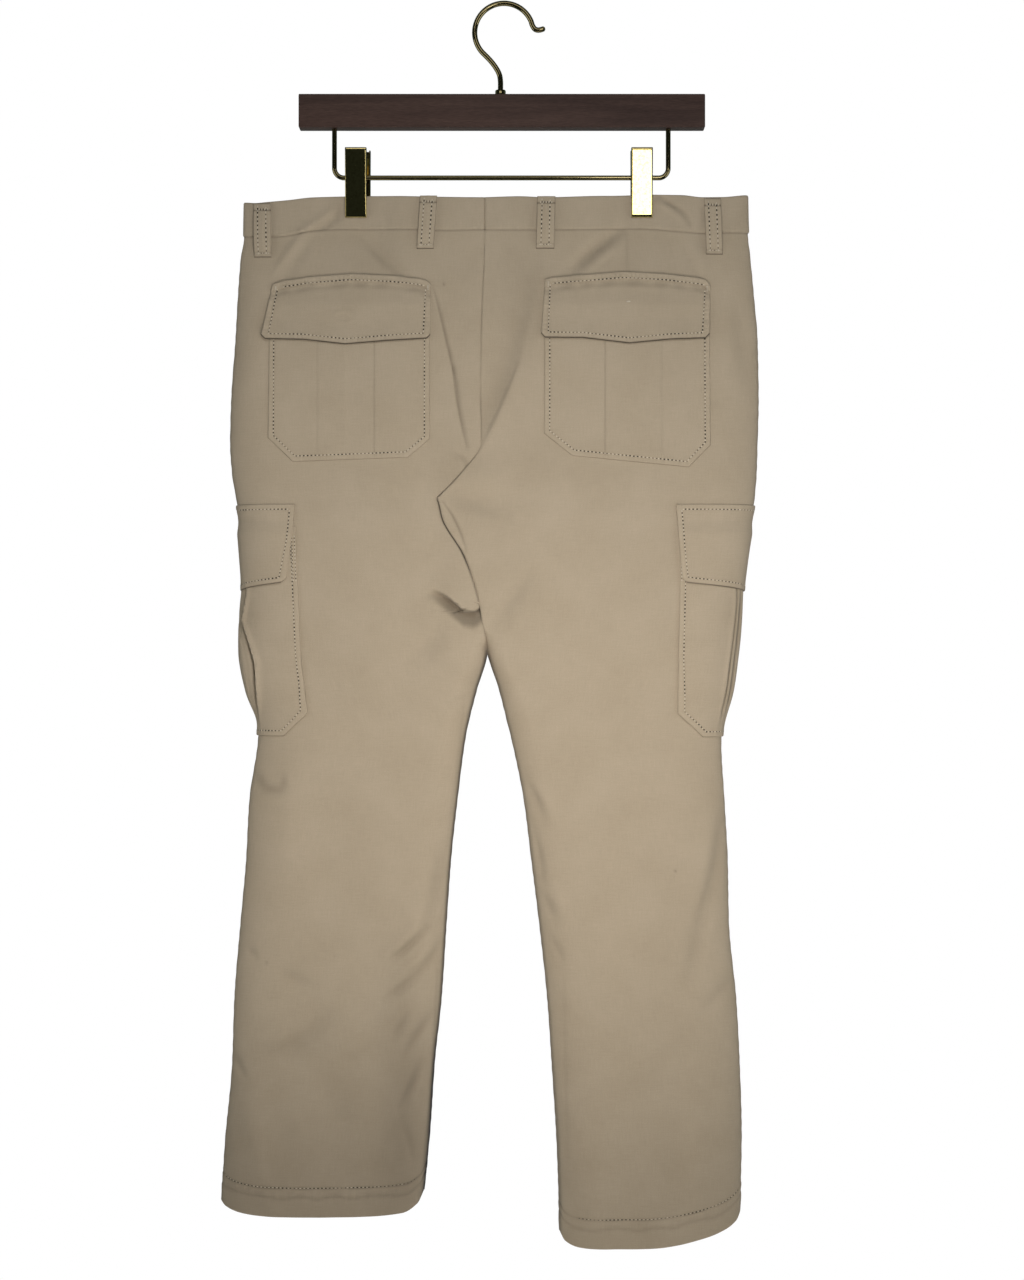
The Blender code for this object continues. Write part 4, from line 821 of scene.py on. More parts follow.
def stitchRow(store, surface, path, pitch=stitching["pitch"], lift=0.2, wide=stitching["wide"], hole=1.0):
    # spindles along a path on a surface: at equal steps of length, each a diamond-sectioned thread,
    # and between every two of them a dark cone, painted shade for the hole that the thread goes into
    path = np.array(path, float)
    total = np.concatenate(([0], np.cumsum(np.hypot(*np.diff(path, axis=0).T))))
    at = np.linspace(0, total[-1], max(int(total[-1] / 0.4), 8))
    points, normal = surface(np.interp(at, total, path[:, 0]), np.interp(at, total, path[:, 1]))
    run = np.concatenate(([0], np.cumsum(np.linalg.norm(np.diff(points, axis=0), axis=1))))
    count = max(int(run[-1] / pitch), 1)
    step = run[-1] / count
    scale = pitch / stitching["pitch"]

    def read(array, places):
        return np.stack([np.interp(places, run, array[:, i]) for i in range(3)], -1)

    def frameAt(places, reach):
        along = unit(read(points, places + reach) - read(points, places - reach))
        up = unit(read(normal, places))
        return read(points, places), along, np.cross(along, up), up

    length = stitching["long"] * scale
    centre, along, side, up = frameAt((np.arange(count) + 0.5) * step, length / 2)
    rings = []
    for place, swell in ((-0.5, 0.25), (-0.28, 1.0), (0.28, 1.0), (0.5, 0.25)):
        axis = centre + along * (place * length) + up * (lift - (0.16 if abs(place) > 0.4 else 0))
        for a, b in ((1, 0), (0, 1), (-1, 0), (0, -1)):
            rings.append(axis + side * (wide / 2 * swell * a) + up * (stitching["high"] / 2 * swell * b))
    stitchStore.setdefault(store, []).append(np.stack(rings, 1))
    if count < 2:
        return
    centre, along, side, up = frameAt(np.arange(1, count) * step, 0.6)
    low, high = centre - up * 0.25, centre + up * 0.22
    hole = hole * (0.82 + 0.22 * ripple(np.arange(1, count) * step, 47.0, path[0, 0]))[:, None]
    holes = [low]
    for a, b in ((1, 0), (0.5, 1), (-0.5, 1), (-1, 0), (-0.5, -1), (0.5, -1)):
        holes.append(high + along * (stitching["hole"] / 2 * scale * hole * a)
                     + side * (stitching["holeWide"] / 2 * hole * b))
    stitchStore.setdefault(store + "Holes", []).append(np.stack(holes, 1))


def sewStitches(name, material, store):
    stitches = np.concatenate(stitchStore[store])
    sides = [(i + k, i + (k + 1) % 4, i + 4 + (k + 1) % 4, i + 4 + k) for i in (0, 4, 8) for k in range(4)]
    ring = np.array(sides + [(3, 2, 1, 0), (12, 13, 14, 15)])
    faces = (ring[None] + 16 * np.arange(len(stitches))[:, None, None]).reshape(-1, 4)
    a, b, c = (stitches[0][ring[0][i]] for i in range(3))
    if np.dot(np.cross(b - a, c - a), (a + c) / 2 - stitches[0].mean(0)) < 0:
        faces = faces[:, ::-1]
    addPiece(name, stitches.reshape(-1, 3), faces, material, sharp=80)
    if store + "Holes" not in stitchStore:
        return
    # the dark cones of painted shade in the needle holes
    holes = np.concatenate(stitchStore[store + "Holes"])
    cone = [[0, 1 + k, 1 + (k + 1) % 6] for k in range(6)] + [[6, 5, 4, 3, 2, 1]]
    tip, a, b = holes[0][:3]
    if np.dot(np.cross(a - tip, b - tip), (a + b) / 2 - holes[0][1:].mean(0)) < 0:
        cone = [face[::-1] for face in cone]
    faces = [[7 * hole + i for i in face] for hole in range(len(holes)) for face in cone]
    addPiece(name + "Holes", holes.reshape(-1, 3), faces, holeMaterial, sharp=80)


backPockets = {
    "left": {
        "flapTop": ((-216, -263), (-207, -260), (-181, -256), (-141.5, -253),
                    (-106, -254.7), (-80, -257.5), (-73, -259), (-68, -263)),
        "flapFoot": ((-226, -311), (-222, -315), (-187, -315.6), (-148, -319.8),
                     (-108, -316.5), (-72, -314.5), (-68.5, -311)),
        "mouth": ((-218.5, -279), (-69.5, -279)),
        "foot": ((-219.5, -406.7), (-196.3, -429.1), (-89.3, -425.3), (-68.8, -407.7)),
        "pleats": ((-173.5, 0.15), (-121.0, 0.5)), "centre": -148.2, "button": (-149, -294), "seed": 1.1,
    },
    "right": {
        "flapTop": ((38.2, -259), (44, -257), (75.5, -254), (112, -251),
                    (150, -253), (182, -257), (188, -258.5), (192.4, -264)),
        "flapFoot": ((34.5, -310), (38, -314), (72.6, -313.9), (116.4, -319),
                     (154.5, -315.4), (187.5, -314.2), (191.3, -310)),
        "mouth": ((38.0, -277), (191.5, -277)),
        "foot": ((37.3, -402.6), (63.3, -423.5), (171.7, -434.3), (192.2, -413.3)),
        "pleats": ((94.2, 0.45), (146.8, 0.2)), "centre": None, "button": None, "seed": 2.3,
    },
    "stitch": 5.2, "flapStitch": 4.94, "thick": 0.7, "pleatRise": 0.35, "flapThick": 1.1, "edgeTone": 0.16,
    "band": 6.5,           # the turned-in strip along a flap's top, ending in a small step
    "tall": 135, "flapTall": 58, "columns": 116, "flapColumns": 190, "grainX": 900, "flapGrainX": 1300,
    "cutting": (14, 172, 1.12), "flapCutting": (10, 72, 1.2),
}


def corners(upper, lower):
    return [tuple(map(float, p)) for p in upper] + [tuple(map(float, p)) for p in lower][::-1]


def widthOf(edge):
    return edge[-1][0] - edge[0][0]


def evenShares(edges, count, wide):
    # shares of the width: even steps, finer at both ends, and one at every corner of the edges
    shares = set(np.round(fineSteps(0, wide, wide / count) / wide, 5))
    for points in edges:
        shares |= {round((x - points[0][0]) / widthOf(points), 5) for x, _ in points}
    shares = np.array(sorted(shares))
    keep = np.concatenate(([True], np.diff(shares) > 0.12 / wide))
    keep[-1] = True
    return shares[keep]


def backPocketTop(leg, x, z):
    # the patch's height above the panel: folded edge, and a box pleat raised between two fold lines
    shape = backPockets[leg]
    away, along = edgeDistance(corners(shape["mouth"], shape["foot"]), x, z)
    rise = sewnHeight(away, along, backPockets["thick"], backPockets["stitch"], shape["seed"], groove=0.2)
    (left, _), (right, _) = shape["pleats"]
    pleat = smoothStep(left - 0.5, left + 0.5, x) * smoothStep(right + 0.5, right - 0.5, x)
    rise = rise + backPockets["pleatRise"] * pleat * smoothStep(2, 12, away)
    for line, strong in shape["pleats"]:
        rise = rise - strong * bell(x - line, 0.7) * smoothStep(1, 6, away)
    if shape["centre"]:
        rise = rise + 0.3 * bell(x - shape["centre"], 2.2) * smoothStep(6, 25, away)
    return 0.25 + rise + 0.35 * clothWander(x * 1.7, z * 1.4, shape["seed"]) * smoothStep(4, 20, away), away


def backPocket(leg):
    shape, inset, side = backPockets[leg], backPockets["stitch"], leg.capitalize()
    mouth, foot = shape["mouth"], shape["foot"]
    columns = evenShares((foot,), backPockets["columns"], widthOf(foot))
    x, z = betweenEdges(mouth, foot, columns, fineSteps(0, backPockets["tall"], 1.3) / backPockets["tall"])
    top, away = backPocketTop(leg, x, z)
    tone = seamShadeAndWear(away, inset, backPockets["edgeTone"])
    # painted shade along the pocket's foot and in the folds of its pleats
    tone = tone - 0.12 * bell(away, 0.6) * smoothStep(-395, -408, z)
    for line, strong in shape["pleats"]:
        tone = tone - 0.4 * strong * bell(x - line, 0.7) * smoothStep(1, 6, away)
    surface = shell(f"backPocket{side}", f"back_pocket_{leg}", partial(onFace, leg, "back"),
                    partial(backPocketTop, leg), top, 0 * top + 0.12, x, z, backPockets["grainX"], tone)
    stitchRow("Back" + side, surface, [
        (foot[0][0] + inset, mouth[0][1] - 2), (foot[0][0] + inset, foot[0][1] + 0.42 * inset),
        (foot[1][0] + 0.4 * inset, foot[1][1] + inset), (foot[2][0] - 0.4 * inset, foot[2][1] + inset),
        (foot[3][0] - inset, foot[3][1] + 0.42 * inset), (foot[3][0] - inset, mouth[1][1] - 2)])


def backFlapLow(leg, x, z):
    # the underside of the flap: on the panel at its top edge, over the pocket below it, lifting at its foot
    foot = np.interp(x, *np.array(backPockets[leg]["flapFoot"]).T)
    return 0.15 + 1.3 * smoothStep(-268, -284, z) + 1.7 * smoothStep(foot + 22, foot, z)


def backFlapTop(leg, x, z):
    shape, band = backPockets[leg], backPockets["band"]
    seed = shape["seed"]
    away, along = edgeDistance(corners(shape["flapTop"], shape["flapFoot"]), x, z)
    below = np.interp(x, *np.array(shape["flapTop"]).T) - z
    rise = sewnHeight(away, along, backPockets["flapThick"], backPockets["flapStitch"], seed + 1,
                      pitch=5.2, groove=0.2)
    rise = rise + 1.0 * smoothStep(band + 1.0, band - 0.2, below)
    rise = rise + 0.22 * ripple(x, 3.2, seed) * bell(below - band, 2.2)
    rise = rise + 0.2 * ripple(x, 17.0, seed * 2) * bell(below - band - 5, 5.0)
    rise = rise - 0.9 * bell(below - band - 3.0, 3.4)
    if shape["button"]:
        buttonX, buttonZ = shape["button"]
        rise = rise + 0.3 * bell(np.hypot(x - buttonX, (z - buttonZ) * 1.7) - 9.0, 3.0)
    rise = rise + 0.35 * clothWander(x * 2.1, z * 1.9, seed + 3) * smoothStep(5, 18, away)
    return backFlapLow(leg, x, z) + rise, away, below


def backFlap(leg):
    shape, inset, side = backPockets[leg], backPockets["flapStitch"], leg.capitalize()
    upper, lower = shape["flapTop"], shape["flapFoot"]
    wide = widthOf(lower)
    rows = fineSteps(0, backPockets["flapTall"], 0.8) / backPockets["flapTall"]
    columns = evenShares((upper, lower), backPockets["flapColumns"], wide)
    x, z = betweenEdges(upper, lower, columns, rows)
    top, away, below = backFlapTop(leg, x, z)
    foot = np.interp(x, *np.array(lower).T)
    gathers = 0.5 + 0.5 * ripple(x, 23.0, shape["seed"] * 3)
    # painted shadow under the flap's foot; painted shade along the band's stitch line and in the hollow
    # under the band, varied by the gathers
    tone = seamShadeAndWear(away, backPockets["stitch"], 0.12) - 0.85 * bell(np.maximum(z - foot, 0), 1.0)
    tone = tone - 0.12 * bell(below - 7.4, 1.0) - (0.06 + 0.10 * gathers) * bell(below - 10.0, 3.6)
    surface = shell(f"backFlap{side}", f"back_flap_{leg}", partial(onFace, leg, "back"),
                    partial(backFlapTop, leg), top, backFlapLow(leg, x, z), x, z, backPockets["flapGrainX"],
                    tone)
    (topLeft, highLeft), (topRight, highRight) = upper[0], upper[-1]
    stitchRow("Back" + side, surface, [(px, pz - 6.0) for px, pz in upper[1:-1]], pitch=3.8)
    stitchRow("Back" + side, surface,
              [(topLeft + inset, highLeft - 4), (lower[1][0] + inset * 0.6, lower[1][1] + inset)]
              + [(px, pz + inset) for px, pz in lower[2:-2]]
              + [(lower[-2][0] - inset * 0.6, lower[-2][1] + inset), (topRight - inset, highRight - 4)])
    for px, pz in ((topLeft + 3.0, highLeft - 2.5), (topRight - 3.0, highRight - 1.5)):
        for level in pz - 0.9 * np.arange(5):
            stitchRow("tacks", surface, [(px - 1.5, level), (px + 1.8, level - 0.3)], 3.3, 0.25, 0.7)
    if leg == "right":                          # the loose tack that held the button's place
        stitchRow("tacks", surface, [(111.9, -280.0), (119.9, -279.4)], 8.0, 0.6, 1.3)


for leg in ("left", "right"):
    backPocket(leg)
    backFlap(leg)
print("back pockets laid on")

# the side pockets: rear edges and pleats are rows of (z, x as seen from behind), front is a distance
# round the leg from its outer seam, and second is how deep the pleat's other fold is
cargo = {
    "left": {
        "middleX": -140.0, "foot": -684.0, "bulge": 2.6, "seed": 0.7, "gape": 3.6, "second": 0.1,
        "flapRear": ((-468, -194.0), (-476, -193.9), (-541, -201.6), (-552, -202.5)),
        "rear": ((-480, -193.8), (-530, -191.8), (-606, -188.3), (-663, -181.8), (-690, -179.0)),
        "pleat": ((-553, -239.5), (-577, -241.5), (-617, -231.5), (-674, -228.0)),
    },
    "right": {
        "middleX": 115.0, "foot": -685.0, "bulge": 2.2, "seed": 1.9, "gape": 2.0, "second": 0.6,
        "flapRear": ((-468, 159.5), (-476, 160.0), (-541, 165.0), (-552, 165.5)),
        "rear": ((-480, 162.5), (-541, 163.4), (-606, 161.6), (-663, 161.0), (-690, 161.0)),
        "pleat": ((-559, 216.5), (-599, 211.4), (-639, 206.4), (-673, 200.5)),
    },
    "mouth": -489.0, "corner": 22.0, "front": 104.0, "top": -468.5, "rearFoot": -541.0, "sideFoot": -549.0,
    "lift": 0.6, "thick": 0.9, "stitch": 5.0, "rearAround": -62.0, "wide": 166.0, "flapWide": 170.0,
    "flapTall": 76.0, "slant": 0.9, "edgeTone": 0.16, "grainX": 1700, "flapGrainX": 2100,
    "cutting": (40, 225, 1.15), "flapCutting": (12, 92, 1.2),
}


def cargoLine(leg, name, z):
    # a row of (z, x) as a distance round the leg
    rows = np.array(cargo[leg][name])[::-1]
    return aroundOf(leg, np.interp(z, rows[:, 0], rows[:, 1]), z)


def cargoRear(leg, name, levels):
    return list(zip(cargoLine(leg, name, np.array(levels)).tolist(), levels))


def cargoOutline(leg):
    front, mouth, foot, corner = cargo["front"], cargo["mouth"], cargo[leg]["foot"], cargo["corner"]
    narrow = cargo["slant"] * corner
    rear = cargoRear(leg, "rear", (mouth, -530.0, -570.0, -606.0, -635.0, foot + corner))
    last = float(cargoLine(leg, "rear", foot))
    return [rear[0], (front, mouth), (front, foot + corner), (front - narrow, foot),
            (last + narrow, foot)] + rear[:0:-1]


def cargoPuff(leg, around, z):
    # how far the filled-out pocket stands off below its flap: bulge * sin(pi across) * a rise and a fall
    shape = cargo[leg]
    across = np.clip((around - cargo["rearAround"]) / (cargo["front"] - cargo["rearAround"]), 0, 1)
    filled = smoothStep(-530, -600, z) * smoothStep(shape["foot"], shape["foot"] + 60, z)
    return shape["bulge"] * np.sin(math.pi * across) * filled


def cargoPocketTop(leg, around, z):
    # the patch's height: a sewn edge, the filled-out middle, the two lips of the bellows pleat and the gap
    shape = cargo[leg]
    away, along = edgeDistance(cargoOutline(leg), around, z)
    rise = sewnHeight(away, along, cargo["thick"], cargo["stitch"], shape["seed"], groove=0.2)
    beside = around - cargoLine(leg, "pleat", z)
    opened = smoothStep(-520, -575, z) * smoothStep(shape["foot"] + 4, shape["foot"] + 45, z)
    lip = bell(beside + 3.2, 3.0) * shape["gape"] * 0.8
    gap = bell(beside, 1.5) * (shape["gape"] + 1.2)
    second = bell(beside - 6.5, 1.6) * 2 * shape["second"]
    outerLip = smoothStep(2, 12, beside) * smoothStep(60, 20, beside) * shape["gape"] * 0.7
    rise = rise + opened * (lip - gap - second + outerLip)
    rise = rise + 0.4 * clothWander(around * 1.9, z * 1.5, shape["seed"]) * smoothStep(4, 20, away)
    return cargo["lift"] + rise + cargoPuff(leg, around, z), away, beside, opened


def cargoPocket(leg):
    shape, side, inset, wide = cargo[leg], leg.capitalize(), cargo["stitch"], cargo["wide"]
    front, mouth, foot, corner = cargo["front"], cargo["mouth"], shape["foot"], cargo["corner"]
    z = fineSteps(foot, mouth, 1.8)[::-1]
    chamfer = np.maximum(foot + corner - z, 0) * cargo["slant"]
    low, high = cargoLine(leg, "rear", z) + chamfer, front - chamfer
    around = low[:, None] + (high - low)[:, None] * (fineSteps(0, wide, 1.5) / wide)[None, :]
    z = z[:, None] + 0 * around
    top, away, beside, opened = cargoPocketTop(leg, around, z)
    # painted shade in the gap of the bellows pleat and along its second fold
    paintedPleatShade = 0.65 * bell(beside, 1.3) + shape["second"] * bell(beside - 6.5, 1.3)
    lowHeight = np.minimum(0.2 + cargoPuff(leg, around, z) * 0.8, top - 0.3)
    surface = shell(f"cargoPocket{side}", f"cargo_pocket_{leg}", partial(roundSide, leg),
                    partial(cargoPocketTop, leg), top, np.maximum(lowHeight, 0.1), around, z,
                    cargo["grainX"], seamShadeAndWear(away, inset, cargo["edgeTone"]) - opened * paintedPleatShade,
                    shape["middleX"])
    levels = np.linspace(mouth - 2, foot + corner + 0.4 * inset, 12)
    last = float(cargoLine(leg, "rear", foot)) + inset
    narrow = cargo["slant"] * corner - 0.6 * inset
    stitchRow("Cargo" + side, surface, list(zip(cargoLine(leg, "rear", levels) + inset, levels)) + [
        (last + narrow, foot + inset), (front - inset - narrow, foot + inset),
        (front - inset, foot + corner + 0.4 * inset), (front - inset, mouth - 2)])
    # two short rows close together hold the patch's edge beside the flap
    levels = np.linspace(-497, -541, 8)
    for away in (1.4, 3.8):
        edge = list(zip(cargoLine(leg, "rear", levels) + away, levels))
        stitchRow("Cargo" + side, surface, edge, 3.2, hole=0.75)


def cargoFlapFoot(leg, around):
    rear = float(cargoLine(leg, "flapRear", cargo["rearFoot"]))
    return np.interp(around, (rear, 0.0, cargo["front"] + 2),
                     (cargo["rearFoot"], cargo["sideFoot"], cargo["rearFoot"]))


def cargoFlapOutline(leg):
    front, foot, top = cargo["front"] + 2, cargo["rearFoot"], cargo["top"]
    rear = cargoRear(leg, "flapRear", (top - 1.5, -490.0, -515.0, foot + 4))
    return [rear[0], (rear[0][0] + 2, top), (front - 2, top), (front, top - 1.5), (front, foot + 4),
            (front - 4, foot), (0.0, cargo["sideFoot"]), (rear[-1][0] + 4, foot)] + rear[:0:-1]


def cargoFlapLow(leg, around, z):
    over = smoothStep(cargo["mouth"] + 6, cargo["mouth"] - 8, z)
    return 0.2 + over * (cargo["lift"] + cargo["thick"] + 0.6 + cargoPuff(leg, around, z))


def cargoFlapTop(leg, around, z):
    shape = cargo[leg]
    away, along = edgeDistance(cargoFlapOutline(leg), around, z)
    rise = sewnHeight(away, along, cargo["thick"] + 0.2, cargo["stitch"], shape["seed"] + 2, pitch=5.8)
    rise = rise + 0.4 * clothWander(around * 1.9, z * 2.0, shape["seed"] + 1) * smoothStep(4, 16, away)
    return cargoFlapLow(leg, around, z) + rise, away


def cargoFlap(leg):
    shape, side, inset, wide = cargo[leg], leg.capitalize(), cargo["stitch"], cargo["flapWide"]
    front = cargo["front"] + 2
    rows = (fineSteps(0, cargo["flapTall"], 1.4) / cargo["flapTall"])[:, None]
    rear = cargoLine(leg, "flapRear", cargo["top"] + (cargo["rearFoot"] - cargo["top"]) * rows)
    around = rear + (front - rear) * (fineSteps(0, wide, 1.7) / wide)[None, :]
    foot = cargoFlapFoot(leg, around)
    fromSide = np.minimum(around - rear, front - around)
    cornerCut = np.maximum(4 - fromSide, 0) * cargo["slant"] * smoothStep(0.6, 1.0, rows)
    z = cargo["top"] * (1 - rows) + foot * rows + cornerCut
    top, away = cargoFlapTop(leg, around, z)
    # painted shadow under the flap's foot
    tone = seamShadeAndWear(away, inset, cargo["edgeTone"]) - 0.5 * bell(np.maximum(z - foot, 0), 0.9)
    surface = shell(f"cargoFlap{side}", f"cargo_flap_{leg}", partial(roundSide, leg),
                    partial(cargoFlapTop, leg), top, cargoFlapLow(leg, around, z), around, z,
                    cargo["flapGrainX"], tone,
                    shape["middleX"])
    crest = cargo["top"] - inset
    topRear, footRear = (float(cargoLine(leg, "flapRear", z)) + inset for z in (crest, cargo["rearFoot"]))
    bends = np.array((footRear, 0.0, front - inset))
    stitchRow("Cargo" + side, surface, [(topRear, crest), *zip(bends, cargoFlapFoot(leg, bends) + inset),
                                        (front - inset, crest), (topRear, crest)])


for leg in ("left", "right"):
    cargoPocket(leg)
    cargoFlap(leg)
print("cargo pockets laid on")

# unfolded: its width as cut, and the width that its area is reckoned with
band = {
    "columns": 210, "levels": 24, "thick": 2.3, "outer": 1.0, "tall": 33.0, "topZ": -176.0, "grainX": 2600,
    "unfolded": 70, "meanUnfolded": 66,
}


def waistband(leg):
    # a profile (up the outside, over the top edge, down the inside) carried along the waist
    levels = np.linspace(0, 1, band["levels"])         # 0 at the top edge, 1 at the seam
    nominal = band["topZ"] + (cut["waistZ"] - band["topZ"]) * levels
    sides = [panelProfile(leg, face, nominal, band["columns"] // 2) for face in ("back", "front")]
    for sideX, *_ in sides:
        sideX[:, -1] = cut["centreX"] + inward(leg) * 0.2
    (backX, backY, backAlong), (frontX, frontY, frontAlong) = sides
    x = np.concatenate((backX[:, :0:-1], frontX), 1)
    y = np.concatenate((backY[:, :0:-1], frontY), 1)
    along = np.concatenate((backAlong[:, -1:] - backAlong[:, :0:-1], backAlong[:, -1:] + frontAlong), 1)
    down = levels[:, None]
    z = smoothColumn(waistLine, "top", x) * (1 - down) + smoothColumn(waistLine, "seam", x) * down
    ring = np.stack((x, y, z), -1)
    normal = unit(gridNormals(ring) * np.array((1.0, 1.0, 0.0)))
    normal *= -np.sign(normal[1, 4, 1])
    normal[:, [0, -1], 0] = 0
    normal[:, [0, -1]] = unit(normal[:, [0, -1]])
    closing = bell(np.minimum(along, along[:, -1:] - along), 0.9)
    above = (1 - down) * band["tall"] + 0 * x
    outside = band["outer"] + 0.28 * ripple(along, 8.5, len(leg)) * bell(above, 7) - 1.0 * closing
    outside = outside + 0.12 * ripple(along, 12.0, 2.0 + len(leg)) - 0.9 * bell(above, 0.9)
    onBack = (y < 0) * smoothStep(0, 3, np.abs(y))
    folds, foldTone = creaseField("band" + leg.capitalize(), x, z)
    outside = outside + onBack * folds
    inner = band["outer"] - band["thick"]
    curl = np.linspace(0, math.pi, 7)[1:-1, None]
    curled = slice(len(levels) - 1, len(levels) - 1 + len(curl))
    edge = (outside[0] + inner) / 2 + (outside[0] - inner) / 2 * np.cos(curl)
    offsets = np.concatenate((outside[:0:-1], edge, 0 * outside[1:] + inner))
    rows = np.array([*range(len(levels) - 1, 0, -1), *[0] * len(curl), *range(1, len(levels))])
    points = ring[rows] + normal[rows] * offsets[..., None]
    points[curled, :, 2] += band["thick"] / 2 * (np.sin(curl) - 1)
    heights = np.concatenate(([0], np.cumsum(np.abs(np.diff(band["tall"] * (1 - levels[rows]))))))
    grain = np.stack((along[rows] + band["grainX"], heights[:, None] + 0 * along[rows]), -1)
    # painted shade in the waist seam's groove and in the joint where the halves meet, with the band folds'
    # painted shade and light
    tone = 1 - 0.16 * bell(above[rows], 1.0) - 0.12 * closing[rows] + (onBack * foldTone)[rows]
    size = points.shape[:2]
    flat = points.reshape(-1, 3)
    outer = slice((len(levels) - 2) * (size[1] - 1))
    faces = facingOut(flat, normal[rows].reshape(-1, 3), gridFaces(*size), outer)
    piece = addPiece(f"waistband{leg.capitalize()}", flat, faces, twillMaterial,
                     grain.reshape(-1, 2), tone.ravel(), (f"waistband_{leg}",))


for leg in ("left", "right"):
    waistband(leg)

loops = {
    "columns": ("node", "face", "leg", "xTop", "xFoot", "wide", "top", "foot"),
    "rows": (
        ("loop_side_left", "back", "left", -225.6, -225.0, 15.9, -187.0, -237.5),
        ("loop_back_left", "back", "left", -70.4, -73.6, 15.9, -179.6, -229.6),
        ("loop_back_right", "back", "right", 39.6, 38.4, 17.0, -180.2, -229.4),
        ("loop_side_right", "back", "right", 194.6, 196.4, 15.6, -182.6, -235.0),
        ("loop_front_left", "front", "left", -98.0, -98.0, 16.0, -180.4, -230.0),
        ("loop_front_right", "front", "right", 70.0, 70.0, 16.0, -179.8, -230.0),
    ),
    "thick": 1.3, "arch": 1.5, "stitches": (-3.9, 3.5), "tackHalf": 6.5, "grainX": 3300,
    "endSteps": (0.0, 0.2, 0.5, 0.9, 1.4, 2.0, 2.8), "sideSteps": (0.0, 0.15, 0.35, 0.6, 0.9, 1.3, 1.8),
}


def loopLow(loop, z):
    # the strap's underside above the panel: on the waistband at both ends, arched between, down at its foot
    down = (loop["top"] - z) / (loop["top"] - loop["foot"])
    onBand = band["outer"] + 0.25
    held = np.where(down > 0.66, 0.3 + (onBand - 0.3) * smoothStep(1.0, 0.7, down), onBand)
    return held + loops["arch"] * np.sin(math.pi * np.clip(down, 0, 1)) ** 0.8


def loopTop(loop, x, z):
    down = np.clip((loop["top"] - z) / (loop["top"] - loop["foot"]), 0, 1)
    beside = x - (loop["xTop"] + (loop["xFoot"] - loop["xTop"]) * down)
    away = np.minimum(loop["wide"] / 2 - np.abs(beside), np.minimum(loop["top"] - z, z - loop["foot"]))
    rise = loops["thick"] * roundedEdge(np.maximum(away, 0), 0.8) + 0.3 * bell(beside, 1.6)
    for line in loops["stitches"]:
        rise = rise - 0.12 * bell(beside - line, 0.55)
    fold = bell(loop["top"] - z - 6.5, 1.0) + bell(z - loop["foot"] - 4.0, 0.9)
    rise = rise - 0.35 * fold + 0.05 * ripple(z, 8.2, loop["wide"] + loop["xTop"])
    return loopLow(loop, z) + rise, away, fold


def beltLoop(row):
    loop = dict(zip(loops["columns"], row))
    leg, wide, top, foot, xTop = (loop[key] for key in ("leg", "wide", "top", "foot", "xTop"))
    long, lean = top - foot, loop["xFoot"] - xTop
    rows = (fineSteps(0, long, 1.3, loops["endSteps"]) / long)[:, None]
    across = fineSteps(-wide / 2, wide / 2, 0.6, loops["sideSteps"])[None, :]
    x, z = xTop + lean * rows + across, top - long * rows + 0 * across
    height, away, fold = loopTop(loop, x, z)
    # painted shade along the loop's edges and fold lines, at its foot, and in the line under its top tack
    tone = 1 - 0.22 * bell(away, 0.7) - 0.14 * fold
    tone = tone - 0.4 * bell(z - foot, 0.8) - 0.4 * bell(top - z - 6.8, 0.7)
    name = "beltLoop" + "".join(part.capitalize() for part in loop["node"].split("_")[1:])
    surface = shell(name, loop["node"], partial(onFace, leg, loop["face"]), partial(loopTop, loop), height,
                    loopLow(loop, z) + 0 * x, x, z, loops["grainX"], tone,
                    tuck=(4, 2, 0))
    for k, line in enumerate(loops["stitches"]):
        stitchRow("Loops", surface, [(xTop + line, top - 1.2 - 1.3 * k), (xTop + lean + line, foot + 1.5)],
                  3.9 + 0.2 * k, 0.25, 1.0, 1.05)
    for level in (top - 5.5, top - 6.4, foot + 3.6):
        middle, half = xTop + lean * (top - level) / long, loops["tackHalf"]
        stitchRow("Loops", surface, [(middle - half, level), (middle + half, level)], 2.6, 0.15, 0.7, 0.7)


for row in loops["rows"]:
    beltLoop(row)
print("waistband and loops sewn on")

fly = {
    "wide": 38.0, "top": cut["waistZ"] - 4, "foot": -372.0, "edgeX": cut["centreX"] - 0.25,
    "curveFrom": 0.72, "stitch": 1.4, "grainX": 3700, "flat": (46, 166, 6688), "curveZ": -330.0,
    "rows": ((1.6, 30, 38), (7.6, 25, 32)),            # from the free edge: the line, its curve's two radii
}


def flyTop(x, z):
    down = np.clip((fly["top"] - z) / (fly["top"] - fly["foot"]), 0, 1)
    bend = np.clip((down - fly["curveFrom"]) / (1 - fly["curveFrom"]), 0, 1)
    wide = fly["wide"] * np.sqrt(np.clip(1 - bend**2, 0, 1))
    away = np.minimum(np.minimum(x - (fly["edgeX"] - wide), fly["edgeX"] - x), z - fly["foot"])
    away = np.maximum(away, 0)
    return 0.3 + sewnHeight(away, z, 1.0, fly["stitch"], 0.9, groove=0.3), away


def flyPlacket():
    long = fly["top"] - fly["foot"]
    rows = (fineSteps(0, long, 1.8) / long)[:, None]
    bend = np.clip((rows - fly["curveFrom"]) / (1 - fly["curveFrom"]), 0, 0.995)
    shares = (fineSteps(0, fly["wide"], 1.0) / fly["wide"])[None, :]
    x = fly["edgeX"] - fly["wide"] * np.sqrt(1 - bend**2) * shares
    z = fly["top"] - long * rows + 0 * x
    top, away = flyTop(x, z)
    surface = shell("flyPlacket", "fly_placket", partial(onFace, "left", "front"), flyTop, top,
                    0 * top + 0.12, x, z, fly["grainX"], seamShadeAndWear(away, fly["stitch"]))
    turn = np.linspace(0, math.pi / 2, 12)
    for inset, across, down in fly["rows"]:
        left = cut["centreX"] - fly["wide"] + inset
        bend = zip(left + across * (1 - np.cos(turn)), fly["curveZ"] - down * np.sin(turn))
        stitchRow("Front", surface, [(left, fly["top"] - 2), (left, fly["curveZ"]), *bend])


flyPlacket()


